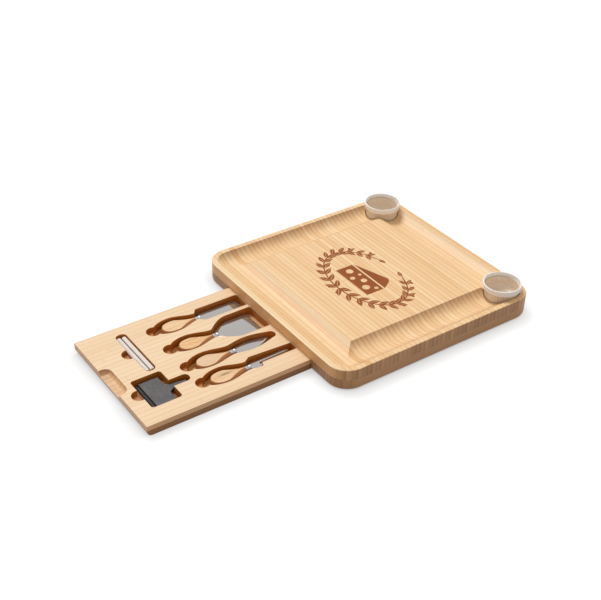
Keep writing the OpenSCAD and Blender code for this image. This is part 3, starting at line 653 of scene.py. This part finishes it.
# ================ bowls
def bowl_profile(height, rim_r):
    """From the middle of the foot up the outside, over the rim and down to the cup's floor."""
    inner = rim_r - BOWL_WALL
    cup = inner - BOWL_LEDGE_W
    lip = BOWL_WALL / 2
    body_top = height - BOWL_BAND
    ledge = height - BOWL_LEDGE_DEPTH
    body = BOWL_BODY_R
    profile = [(0.4 * MM, 0.5 * MM), (body - 3.4 * MM, 0.5 * MM), (body - 2.4 * MM, 0.0)]
    profile += arc(body - 1.6 * MM, 1.0 * MM, 1.0 * MM, -90, 0, 4)
    profile += [(body - 0.6 * MM, 2.4 * MM)]
    profile += [(body - 0.35 * MM * (1 - i / 12), 2.8 * MM + (body_top - 5.6 * MM) * i / 12)
                for i in range(13)]
    profile += [(body, body_top - 1.8 * MM), (body + 0.5 * MM, body_top - 1.0 * MM)]
    profile += arc(rim_r - 1.0 * MM, body_top + 0.6 * MM, 1.0 * MM, -80, 0, 5)
    profile += [(rim_r, body_top + 2.6 * MM), (rim_r, height - 2.4 * MM)]
    profile += arc(rim_r - lip, height - lip, lip, 0, 180, 12)
    profile += [(inner, height - 2.6 * MM), (inner - 0.1 * MM, ledge + 0.9 * MM)]
    profile += arc(inner - 0.1 * MM - 0.6 * MM, ledge + 0.6 * MM, 0.6 * MM, 0, -80, 4)
    profile += arc(cup - 0.5 * MM, ledge - 0.7 * MM, 0.6 * MM, 80, 0, 4)
    profile += [(cup - 0.1 * MM, ledge - 3 * MM)]
    profile += arc(cup - BOWL_FILLET, BOWL_FLOOR + BOWL_FILLET, BOWL_FILLET, 0, -90, 12)
    profile += [(4 * MM, BOWL_FLOOR), (0.4 * MM, BOWL_FLOOR)]
    return profile


def fluted(height):
    """Shallow upright flutes on the outside wall between the foot and the rim band."""
    low, high = 2.6 * MM, height - BOWL_BAND - 1.6 * MM

    def shape(radius, level, angle):
        on_wall = BOWL_BODY_R - 1.0 * MM <= radius <= BOWL_BODY_R + 0.2 * MM
        if not (on_wall and low < level < high):
            return radius
        fade = min(1.0, (level - low) / (0.8 * MM), (high - level) / (0.8 * MM))
        return radius - FLUTE_DEPTH * fade * abs(math.sin(FLUTES * angle / 2)) ** 0.7
    return shape


def bowl(node, material):
    low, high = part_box(node)
    centre = box_centre(node)
    height = high[2] - low[2]
    rim_r = box_size(node)[0] / 2
    place = Matrix.Translation((centre[0], centre[1], low[2]))
    vertices, faces = lathe(bowl_profile(height, rim_r), FLUTES * 8, place, fluted(height))
    piece = make_object(node + "_fluted", vertices, faces, material, 40)
    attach(piece, node)
    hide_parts(node)


# ================ knives
def knife_place(knife):
    """The knife's own frame: origin where the blade leaves the ferrule, +Y toward the tip."""
    turn = Matrix.Rotation(SPADE_TURN if knife == "spade" else 0.0, 4, "Z")
    middle = box_centre(knife + "_ferrule")
    return Matrix.Translation(middle) @ turn @ Matrix.Translation((0, FERRULE_LEN / 2, 0))


FERRULE_LEN = box_size("plane_ferrule")[1]
FERRULE_R = box_size("plane_ferrule")[0] / 2
HANDLE_R = box_size("plane_handle")[0] / 2
HANDLE_HALF_T = box_size("plane_handle")[2] / 2
BLADE_T = box_size("plane_blade")[2]


def handle_radius(s):
    """Half width of the handle at distance s behind its neck."""
    if s < HANDLE_BELLY_AT:
        belly = swell((s / HANDLE_BELLY_AT) ** HANDLE_BELLY_DELAY)
        return HANDLE_NECK_R + (HANDLE_R - HANDLE_NECK_R) * belly
    return HANDLE_R * round_off(s, HANDLE_BELLY_AT, HANDLE_LEN)


def facet_half(s):
    """Half width of its flat face there."""
    widest = HANDLE_R - FACET_INSET
    if s < HANDLE_BELLY_AT:
        return max(FACET_MIN, widest * swell((s / HANDLE_BELLY_AT) ** FACET_DELAY))
    return max(FACET_MIN, widest * round_off(s, HANDLE_BELLY_AT, FACET_END))


def handle_section(radius, s, y):
    """Flat faces above and below, and turned sides that curve down from them."""
    facet = min(facet_half(s), FACET_MAX_SHARE * radius)
    flat = min(HANDLE_HALF_T, FLAT_MAX_SHARE * radius)
    if s > FACET_END:
        flat = min(flat, HANDLE_HALF_T * round_off(s, FACET_END, HANDLE_LEN))
    side_steps, top_steps = 14, 10
    ring = []
    for sign in (1, -1):
        for i in range(side_steps + 1):
            a = SIDE_START * (2 * i / side_steps - 1)
            out = (math.cos(a) - math.cos(SIDE_START)) / (1 - math.cos(SIDE_START))
            ring.append(Vector((sign * (facet + (radius - facet) * out), y,
                                sign * flat * math.sin(a) / math.sin(SIDE_START))))
        for i in range(1, top_steps):
            ring.append(Vector((sign * facet * (1 - 2 * i / top_steps), y, sign * flat)))
    return ring


def handle(knife, material):
    place = knife_place(knife)
    stations = [0.0, 0.4 * MM]
    stations += [HANDLE_BELLY_AT * i / 30 for i in range(1, 31)]
    tail = HANDLE_LEN - HANDLE_BELLY_AT
    stations += [HANDLE_BELLY_AT + tail * math.sin(math.radians(90 * i / 34)) for i in range(1, 34)]
    rings = []
    for s in stations:
        radius = handle_radius(s) - (0.3 * MM if s == 0.0 else 0.0)
        rings.append([place @ p for p in handle_section(radius, s, -FERRULE_LEN - s)])
    tip = place @ Vector((0, -FERRULE_LEN - HANDLE_LEN, 0))
    rings.append([tip + 0.02 * (p - rings[-1][0]) for p in rings[-1]])
    vertices, faces = skin(rings)
    piece = make_object(knife + "_handle_turned", vertices, faces, material, 22)
    add_bevel(piece, HANDLE_EDGE, 3, 24)
    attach(piece, knife + "_knife")
    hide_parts(knife + "_handle")


def ferrule(knife, material):
    """A drawn tube with rolled ends and one shallow crimp."""
    place = knife_place(knife) @ Matrix.Rotation(math.radians(90), 4, "X")
    length, r = FERRULE_LEN, FERRULE_R
    bore = r - 0.75 * MM
    profile = [(bore, 0.1 * MM)]
    profile += arc(r - 0.35 * MM, 0.35 * MM, 0.35 * MM, -90, 0, 4)
    profile += [(r, 2.0 * MM), (r - 0.22 * MM, 2.45 * MM), (r - 0.22 * MM, 2.75 * MM), (r, 3.2 * MM)]
    profile += [(r, length - 0.7 * MM)]
    profile += arc(r - 0.35 * MM, length - 0.35 * MM, 0.35 * MM, 0, 90, 4)
    profile += [(bore, length - 0.1 * MM)]
    vertices, faces = lathe(profile, 48, place)
    piece = make_object(knife + "_ferrule_tube", vertices, faces, material, 35)
    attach(piece, knife + "_knife")
    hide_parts(knife + "_ferrule")


def blade_width(knife):
    """The width of the blade's box, but for the spade, which is turned in its box."""
    low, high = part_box(knife + "_blade")
    return SPADE_W if knife == "spade" else high[0] - low[0]


def blade_length(knife):
    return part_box(knife + "_blade")[1][1] - knife_place(knife).translation[1]


def blade_rows(knife, half, length):
    """Rows along a blade: (y, half width, thickness of the middle, shift to the side)."""
    root = FERRULE_R + BLADE_STEP[knife]
    shoulder = BLADE_SHOULDER[knife]
    ground = BLADE_T - BLADE_EDGE_T
    rows = [(shoulder * i / 16, root + (half - root) * swell(i / 16), BLADE_T, 0) for i in range(17)]
    if knife == "spade":
        for i in range(1, SPADE_ROWS + 1):
            t = math.sin(math.radians(90 * i / (SPADE_ROWS + 0.5)))
            middle = BLADE_T - ground * max(0.0, (t - SPADE_THIN_FROM) / SPADE_THIN_OVER)
            narrow = math.cos(math.pi / 2 * t)
            rows.append((shoulder + (length - shoulder) * t, half * narrow, middle,
                         -SPADE_TIP_X * (1 - narrow)))
        return rows
    corner, straight = BLADE_CORNER_R, length - BLADE_END
    rows += [(shoulder + (straight - shoulder) * i / 6, half, BLADE_T, 0) for i in range(1, 7)]
    for i in range(1, 4):
        thick = BLADE_T - ground * BLADE_END_THIN * i / 3
        rows.append((straight + (BLADE_END - corner) * i / 3, half, thick, 0))
    for i in range(1, 7):
        a = math.radians(90 * i / 6)
        thick = BLADE_T - ground * (BLADE_END_THIN + (1 - BLADE_END_THIN) * math.sin(a))
        rows.append((length - corner + corner * math.sin(a), half - corner + corner * math.cos(a), thick, 0))
    return rows


def section(y, half, inner, side_t, middle_t, shift=0.0):
    """One cross-section: a middle between -inner and inner, and margins out to half."""
    lower = [(-half, -side_t / 2), (-inner, -middle_t / 2), (inner, -middle_t / 2), (half, -side_t / 2)]
    return [Vector((x + shift, y, z)) for x, z in lower + [(-x, -z) for x, z in lower]]


def flat_blade(knife, material):
    place = knife_place(knife)
    side_t = BLADE_T * BLADE_SIDE[knife]
    tang = FERRULE_R / 2
    rings = [section(y, tang, tang / 2, BLADE_T, BLADE_T)
             for y in (-FERRULE_LEN - TANG_LEN, -0.02 * MM)]
    for y, half, middle_t, shift in blade_rows(knife, blade_width(knife) / 2, blade_length(knife)):
        inner = max(0.35 * half, half - BLADE_GRIND)
        rings.append(section(y, half, inner, min(side_t, middle_t), middle_t, shift))
    vertices, faces = skin([[place @ p for p in ring] for ring in rings])
    piece = make_object(knife + "_blade_ground", vertices, faces, material, 12)
    add_bevel(piece, BLADE_ARRIS, 2, 40)
    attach(piece, knife + "_knife")
    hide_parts(knife + "_blade")


def fork_blade(material):
    """Two prongs with slanted tips, cut from the same sheet as the other blades."""
    place = knife_place("fork") @ Matrix.Rotation(FORK_RISE, 4, "X")
    half = blade_width("fork") / 2
    length = blade_length("fork")
    root = FERRULE_R + BLADE_STEP["fork"]
    slot_half = FORK_SLOT_W / 2
    slot_start = length - FORK_SLOT_LEN
    tip_half = FORK_TIP_W / 2
    tang_half = FERRULE_R / 2
    right = [(tang_half, -FERRULE_LEN - TANG_LEN), (tang_half, 0), (root, 0)]
    right += [(half, BLADE_SHOULDER["fork"]), (tip_half, slot_start), (tip_half, length - tip_half)]
    right += arc(slot_half + PRONG_TIP_R, length - PRONG_TIP_R, PRONG_TIP_R, 40, 180, 4)
    slot = [(slot_half, slot_start + slot_half + (FORK_SLOT_LEN - 2 * slot_half) * (1 - i / 6))
            for i in range(1, 7)]
    bottom = arc(0, slot_start + slot_half, slot_half, 0, -90, 6)[1:]
    side = right + slot + bottom
    outline = side + [(-x, y) for x, y in reversed(side) if x > 1e-7]
    vertices, faces = plate(outline, -BLADE_T / 2, BLADE_T / 2, place)
    piece = make_object("fork_blade_pronged", vertices, faces, material, 25)
    add_bevel(piece, FORK_ARRIS, 2, 50)
    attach(piece, "fork_knife")
    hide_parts("fork_blade")


# ================ chalk and slate
def chalk(node, material, seed):
    """A stick with worn ends and a pitted skin."""
    low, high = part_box(node)
    radius = (high[2] - low[2]) / 2
    length = high[0] - low[0]
    start = Vector((low[0], (low[1] + high[1]) / 2, (low[2] + high[2]) / 2))
    place = Matrix.Translation(start) @ Matrix.Rotation(math.radians(90), 4, "Y")
    worn = CHALK_WORN[seed % 2]
    profile = [(radius * 0.2, 0.15 * MM)] + arc(radius - worn, worn, worn, -88, 0, 6)
    profile += [(radius, worn + (length - 2 * worn) * i / 44) for i in range(1, 44)]
    profile += arc(radius - worn, length - worn, worn, 0, 88, 6)
    profile += [(radius * 0.2, length - 0.15 * MM)]

    def pitted(r, level, angle):
        if r < 0.5 * radius:
            return r
        at = Vector((math.cos(angle) * 1.3, math.sin(angle) * 1.3, level * 260 + seed * 7.0))
        return (r - CHALK_PIT * abs(noise.noise(at * 1.7))
                - CHALK_FINE_PIT * abs(noise.noise(at * 6.0)))
    vertices, faces = lathe(profile, 64, place, pitted)
    piece = make_object(node + "_stick", vertices, faces, material, 50)
    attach(piece, node)
    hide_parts(node)


def slate_outline():
    """A plate with a pointed spike in the middle of its rear side."""
    width, total = box_size("upper_slate")[:2]
    half = width / 2
    root_x, root_y = SLATE_SPIKE_ROOT
    return [(-half, 0), (half, 0), (half, SLATE_PLATE_L), (SLATE_SHOULDER, SLATE_PLATE_L),
            (root_x, SLATE_PLATE_L + root_y), (SLATE_SPIKE_TIP, total), (-SLATE_SPIKE_TIP, total),
            (-root_x, SLATE_PLATE_L + root_y), (-SLATE_SHOULDER, SLATE_PLATE_L), (-half, SLATE_PLATE_L)]


def slate(node, material, seed):
    """A snapped slate plate: straight sides with tiny chips along the arrises."""
    low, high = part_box(node)
    centre_x = (low[0] + high[0]) / 2
    corners = slate_outline()
    rng = random.Random(seed)
    top, bottom = [], []
    for i, (ax, ay) in enumerate(corners):
        bx, by = corners[(i + 1) % len(corners)]
        along = Vector((bx - ax, by - ay))
        steps = max(2, int(along.length / CHIP_EVERY))
        inward = Vector((-along.y, along.x)).normalized()
        for j in range(steps):
            base = Vector((ax, ay)) + along * j / steps
            chip = abs(noise.noise(Vector((base.x * 900, base.y * 900, seed * 3.1))))
            chip = CHIP * chip + (CHIP_LARGE if rng.random() < CHIP_LARGE_SHARE else 0.0)
            bottom.append(base + inward * 0.02 * MM)
            top.append(base + inward * (chip if j else 0.05 * MM))
    z_low, z_high = low[2], high[2]
    corner = Vector((centre_x, low[1]))

    def ring(points, z, inset=0.0):
        middle = Vector((0, 14 * MM))
        shrunk = [p + (middle - p).normalized() * inset for p in points]
        return [Vector((p.x + corner.x, p.y + corner.y, z)) for p in shrunk]
    rings = [ring(bottom, z_low, 0.2 * MM), ring(bottom, z_low + 0.25 * MM),
             ring(bottom, z_high - 0.6 * MM), ring(top, z_high - 0.25 * MM),
             ring(top, z_high, 0.22 * MM)]
    vertices, faces = skin(rings)
    piece = make_object(node + "_split", vertices, faces, material, 25)
    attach(piece, node)
    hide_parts(node)


# ================ ornament burnt into the platform
def leaf(at, heading, length, width):
    """Two halves of a pointed leaf with a bare midrib between them."""
    shapes = []
    forward = Vector((math.cos(heading), math.sin(heading)))
    across = Vector((-forward.y, forward.x))
    for side in (-1, 1):
        rib = LEAF_RIB * side
        outer = []
        for i in range(13):
            t = i / 12
            bulge = width / 2 * math.sin(math.pi * t ** 0.85)
            outer.append(at + forward * length * t + across * (side * max(bulge, 0.3 * MM)))
        inner = [at + forward * length * t + across * rib for t in (0.97, 0.5, 0.06)]
        shapes.append([(p.x, p.y) for p in outer + inner])
    return shapes


def ribbon(points, width):
    """A stroke of even width along a line of points."""
    left, right = [], []
    for i, p in enumerate(points):
        ahead = points[min(i + 1, len(points) - 1)] - points[max(i - 1, 0)]
        across = Vector((-ahead.y, ahead.x)).normalized() * width / 2
        left.append(p + across)
        right.append(p - across)
    return [(p.x, p.y) for p in left + right[::-1]]


def disc(at, radius):
    return arc(at.x, at.y, radius, 0, 360 - 360 / DISC_POINTS, DISC_POINTS - 1)


def wreath_shapes():
    """Two leafy sprigs that rise from a knot and nearly meet, with berries among the leaves."""
    shapes = []
    for side in (-1, 1):
        stem = []
        for i in range(STEM_POINTS):
            a = math.radians(STEM_START + STEM_SWEEP * i / (STEM_POINTS - 1))
            stem.append(Vector((side * WREATH_W * math.cos(a), WREATH_H * math.sin(a))))
        shapes.append(ribbon(stem, STEM_W))
        for n in range(LEAF_FIRST, LEAF_LAST, LEAF_EVERY):
            ahead = (stem[n] - stem[n - 1]).normalized()
            heading = math.atan2(ahead.y, ahead.x)
            size = 1.0 - LEAF_SHRINK * (n / LEAF_LAST)
            for lean in (-LEAF_LEAN, LEAF_LEAN):
                shapes += leaf(stem[n], heading + lean, LEAF_LEN * size, LEAF_W * size)
            if n % (2 * LEAF_EVERY) == LEAF_FIRST:
                out = stem[n].normalized() * BERRY_OUT * MM
                shapes.append(disc(stem[n] + out + ahead * BERRY_AHEAD * MM, BERRY_R))
        tip = (stem[-1] - stem[-2]).normalized()
        shapes += leaf(stem[-1], math.atan2(tip.y, tip.x), LEAF_LEN * 0.75, LEAF_W * 0.75)
    return shapes


def pierced_plate(outline, holes, low, high, place):
    """A flat plate with round holes through it."""
    loops = [outline] + holes
    flat = [p for loop in loops for p in loop]
    count = len(flat)
    vertices = [place @ Vector((x, y, z)) for z in (low, high) for x, y in flat]
    triangles = tessellate_polygon([[Vector((x, y, 0)) for x, y in loop] for loop in loops])
    faces = [tuple(t)[::-1] for t in triangles] + [tuple(i + count for i in t) for t in triangles]
    start = 0
    for loop in loops:
        for i in range(len(loop)):
            a, b = start + i, start + (i + 1) % len(loop)
            faces.append((a, b, b + count, a + count))
        start += len(loop)
    return vertices, faces


def wedge_plates(low, high, place):
    """A plain wedge of cheese: a solid top and a front with round holes left bare."""
    half, base, front_top, top_low, peak = 36 * MM, -24 * MM, 4 * MM, 6.4 * MM, 25 * MM
    front = [(-half, base), (half, base), (half, front_top), (-half, front_top)]
    holes = [disc(Vector((x * MM, y * MM)), r * MM) for x, y, r in (
        (-24, -9, 5.4), (-8, -16, 3.8), (5, -6, 4.6), (20, -14, 5.6), (29, -3, 3.0), (-10, -2, 2.6))]
    top = [(-half, top_low), (half, top_low), (half - 10 * MM, peak - 3 * MM), (half - 16 * MM, peak)]
    return [pierced_plate(front, holes, low, high, place), plate(top, low, high, place)]


def burnt_ornament(material):
    base = BOARD_TOP + BURN_LIFT
    x, y = ORNAMENT_AT
    centre = Matrix.Translation((BOARD_CENTRE[0] + x, BOARD_CENTRE[1] + y, 0))
    # shapes that overlap differ a little in height, so that their faces never share a plane
    plates = [plate(shape, base, base + BURN_T + BURN_STEP * (i % 9), centre)
              for i, shape in enumerate(wreath_shapes())]
    plates += wedge_plates(base, base + BURN_T, centre)
    vertices, faces = [], []
    for points, sides in plates:
        faces += [tuple(i + len(vertices) for i in face) for face in sides]
        vertices += points
    piece = make_object("burnt_wreath", vertices, faces, material, 30)
    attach(piece, "board")


# ================ finishes
def dress(node, material):
    """Gives a CAD node another material in each of its slots."""
    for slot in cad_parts[node].material_slots:
        slot.material = material


def finishes():
    """Dresses the CAD's own pieces; returns the burnt wood and the ferrules' steel."""
    pocket = (DRAWER_TOP, DRAWER_FRONT, (DRAWER[1][0] - DRAWER[0][0]) / 2)
    slab_face = (srgb(255, 226, 182), srgb(220, 160, 88))
    slab_side = (srgb(238, 186, 129), srgb(220, 165, 107))
    slab_end = (srgb(212, 165, 120), srgb(153, 108, 70))
    rail_side = (srgb(206, 159, 115), srgb(187, 138, 95))
    rail_end = (srgb(192, 145, 104), srgb(157, 110, 72))
    panel_face = (srgb(248, 222, 186), srgb(230, 190, 146))
    panel_side = (srgb(236, 191, 149), srgb(218, 167, 123))
    panel_end = (srgb(239, 198, 158), srgb(216, 170, 128))
    base_face = (srgb(196, 146, 104), srgb(172, 120, 80))
    base_side = (srgb(159, 111, 68), srgb(142, 95, 54))
    base_end = (srgb(214, 178, 148), srgb(180, 140, 108))
    brown = (srgb(158, 84, 32), srgb(146, 76, 28))
    rail = bamboo("rail bamboo", "y", rail_side, rail_side, rail_end, RAIL_STRIP, 40.0)
    nickel = steel("magnet nickel", srgb(214, 212, 206), srgb(196, 194, 188), 0.18, 0.3, 700, 0.01 * MM)
    dress("top_slab", bamboo("slab bamboo", "x", slab_face, slab_side, slab_end, SLAB_STRIP,
                             weights=(0.36, 0.30, 0.16, 0.50), bars=(0.55, 0.2, 0.3),
                             rims=(SLAB[0][1], SLAB[1][1], RIM_STRIP)))
    dress("left_rail", rail)
    dress("right_rail", rail)
    dress("back_rail", bamboo("back rail bamboo", "x", rail_side, rail_side, rail_end,
                              RAIL_STRIP, 80.0))
    dress("drawer_top_panel", bamboo("drawer bamboo", "y", panel_face, panel_side, panel_end,
                                     DRAWER_STRIP, 120.0, pocket=pocket))
    dress("drawer_base_panel", bamboo("drawer base bamboo", "y", base_face, base_side, base_end,
                                      DRAWER_STRIP, 160.0, pocket=pocket))
    dress("guide_pins", steel("pin steel", srgb(196, 196, 198), srgb(168, 168, 170), 0.25, 0.4,
                              1400, 0.01 * MM))
    dress("board_magnets", nickel)
    dress("drawer_magnets", nickel)
    return (bamboo("burnt bamboo", "x", brown, brown, brown, SLAB_STRIP, edge=None, burnt=brown[0]),
            steel("ferrule steel", srgb(196, 196, 199), srgb(150, 150, 153), 0.30, 0.42, 900,
                  0.01 * MM, 0.9))


def loose_pieces(bright):
    """Bowls, knives, chalks and slates, each in place of its solid."""
    for node in ("left_bowl", "right_bowl"):
        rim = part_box(node)[1][2]
        bowl(node, glaze(node + " glaze", box_centre(node), box_size(node)[0] / 2, rim))
    blade_finish = steel("blade steel", srgb(184, 181, 178), srgb(174, 170, 167), 0.06, 0.11, 1800,
                         0.002 * MM, 0.85)
    fork_at = box_centre("fork_handle")
    woods = {
        "plane": (srgb(250, 217, 168), srgb(222, 172, 118)),
        "spatula": (srgb(252, 212, 156), srgb(204, 140, 76), None, 2.3),
        "spade": (srgb(242, 210, 171), srgb(214, 170, 126), None, 5.1),
        "fork": (srgb(250, 212, 164), srgb(224, 172, 118), (fork_at[0] - 1 * MM, fork_at[1] - 6 * MM), 7.7),
    }
    for knife in KNIVES:
        handle(knife, handle_wood(knife + " handle wood", *woods[knife]))
        ferrule(knife, bright)
        if knife == "fork":
            fork_blade(blade_finish)
        else:
            flat_blade(knife, blade_finish)
    between = (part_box("back_chalk")[0][1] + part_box("front_chalk")[1][1]) / 2
    white_chalk = chalk_white(between)
    chalk("back_chalk", white_chalk, 1)
    chalk("front_chalk", white_chalk, 2)
    slate("upper_slate", slate_stone("upper slate", 0.0), 3)
    # the lower slate lies under the upper one and gets painted shade
    slate("lower_slate", slate_stone("lower slate", 0.7), 8)


# ================ stage, light and camera
def seen_directly(tree):
    """1 for camera, mirror and glass rays, 0 for the light that falls on the object."""
    path = add_node(tree, "ShaderNodeLightPath")
    seen = path.outputs["Is Camera Ray"]
    for ray in ("Is Glossy Ray", "Is Transmission Ray"):
        both = add_node(tree, "ShaderNodeMath", {0: seen, 1: path.outputs[ray]}, operation="MAXIMUM")
        seen = both.outputs[0]
    return seen


def make_floor():
    """A white table top that shows a soft, light shadow, partly real and partly painted shade in the crease,
    and sends little light back up.
    """
    h = FLOOR_HALF
    mesh = bpy.data.meshes.new("floor")
    mesh.from_pydata([(-h, -h, 0), (h, -h, 0), (h, h, 0), (-h, h, 0)], [], [(0, 1, 2, 3)])
    floor = bpy.data.objects.new("floor", mesh)
    bpy.context.scene.collection.objects.link(floor)
    material = bpy.data.materials.new("floor white")
    material.use_nodes = True
    tree = material.node_tree
    tree.nodes.clear()
    # painted shade: the glow fades in the crease where the object meets the floor
    crease_shade = add_node(tree, "ShaderNodeAmbientOcclusion", {"Distance": FLOOR_CONTACT_REACH})
    fade = add_node(tree, "ShaderNodeMapRange", {
        "Value": crease_shade.outputs["AO"],
        "To Min": FLOOR_GLOW * (1 - FLOOR_CONTACT), "To Max": FLOOR_GLOW})
    glow = add_node(tree, "ShaderNodeEmission", {"Color": (1, 1, 1, 1), "Strength": fade.outputs[0]})
    lit = add_node(tree, "ShaderNodeBsdfDiffuse", {"Color": (FLOOR_SHADE, FLOOR_SHADE, FLOOR_SHADE, 1)})
    shown = add_node(tree, "ShaderNodeAddShader", {0: glow.outputs[0], 1: lit.outputs[0]})
    hidden = add_node(tree, "ShaderNodeBsdfDiffuse", {"Color": FLOOR_BOUNCE})
    choose = add_node(tree, "ShaderNodeMixShader", {
        0: seen_directly(tree), 1: hidden.outputs[0], 2: shown.outputs[0]})
    add_node(tree, "ShaderNodeOutputMaterial", {0: choose.outputs[0]})
    mesh.materials.append(material)


def make_world():
    """A dim warm sky that lights the object and is seen as white."""
    world = bpy.data.worlds.new("studio")
    world.use_nodes = True
    tree = world.node_tree
    colour = add_node(tree, "ShaderNodeMix", {
        0: seen_directly(tree), 6: [SKY_STRENGTH * c for c in SKY_WARMTH],
        7: (1, 1, 1, 1)}, data_type="RGBA")
    feed(tree, tree.nodes["Background"].inputs["Color"], colour.outputs[2])
    bpy.context.scene.world = world


def make_key_light():
    light = bpy.data.lights.new("key", "SUN")
    light.energy = KEY_STRENGTH
    light.angle = KEY_SPREAD
    lamp = bpy.data.objects.new("key", light)
    # the lamp stands at this azimuth, counted from +Y toward +X, and shines back at the origin
    toward = Vector((math.sin(KEY_AZIMUTH) * math.cos(KEY_ELEVATION),
                     math.cos(KEY_AZIMUTH) * math.cos(KEY_ELEVATION), math.sin(KEY_ELEVATION)))
    lamp.rotation_euler = toward.to_track_quat("Z", "Y").to_euler()
    lamp.location = toward * 2
    bpy.context.scene.collection.objects.link(lamp)


def make_camera():
    camera = bpy.data.cameras.new("camera")
    camera.sensor_fit = "HORIZONTAL"
    camera.sensor_width = SENSOR
    camera.lens = FOCAL_PX / PHOTO_W * SENSOR
    camera.clip_start = CLIP_START
    holder = bpy.data.objects.new("camera", camera)
    pan, roll = Matrix.Rotation(CAMERA_AZIMUTH, 4, "Z"), Matrix.Rotation(CAMERA_ROLL, 4, "Z")
    turn = pan @ Matrix.Rotation(math.pi / 2 - CAMERA_ELEVATION, 4, "X")
    holder.matrix_world = Matrix.Translation(CAMERA_AT) @ turn @ roll
    bpy.context.scene.collection.objects.link(holder)
    bpy.context.scene.camera = holder


make_camera()
make_world()
make_key_light()
make_floor()
burnt_wood, ferrule_steel = finishes()
loose_pieces(ferrule_steel)
burnt_ornament(burnt_wood)
bpy.context.scene.view_settings.view_transform = "Standard"
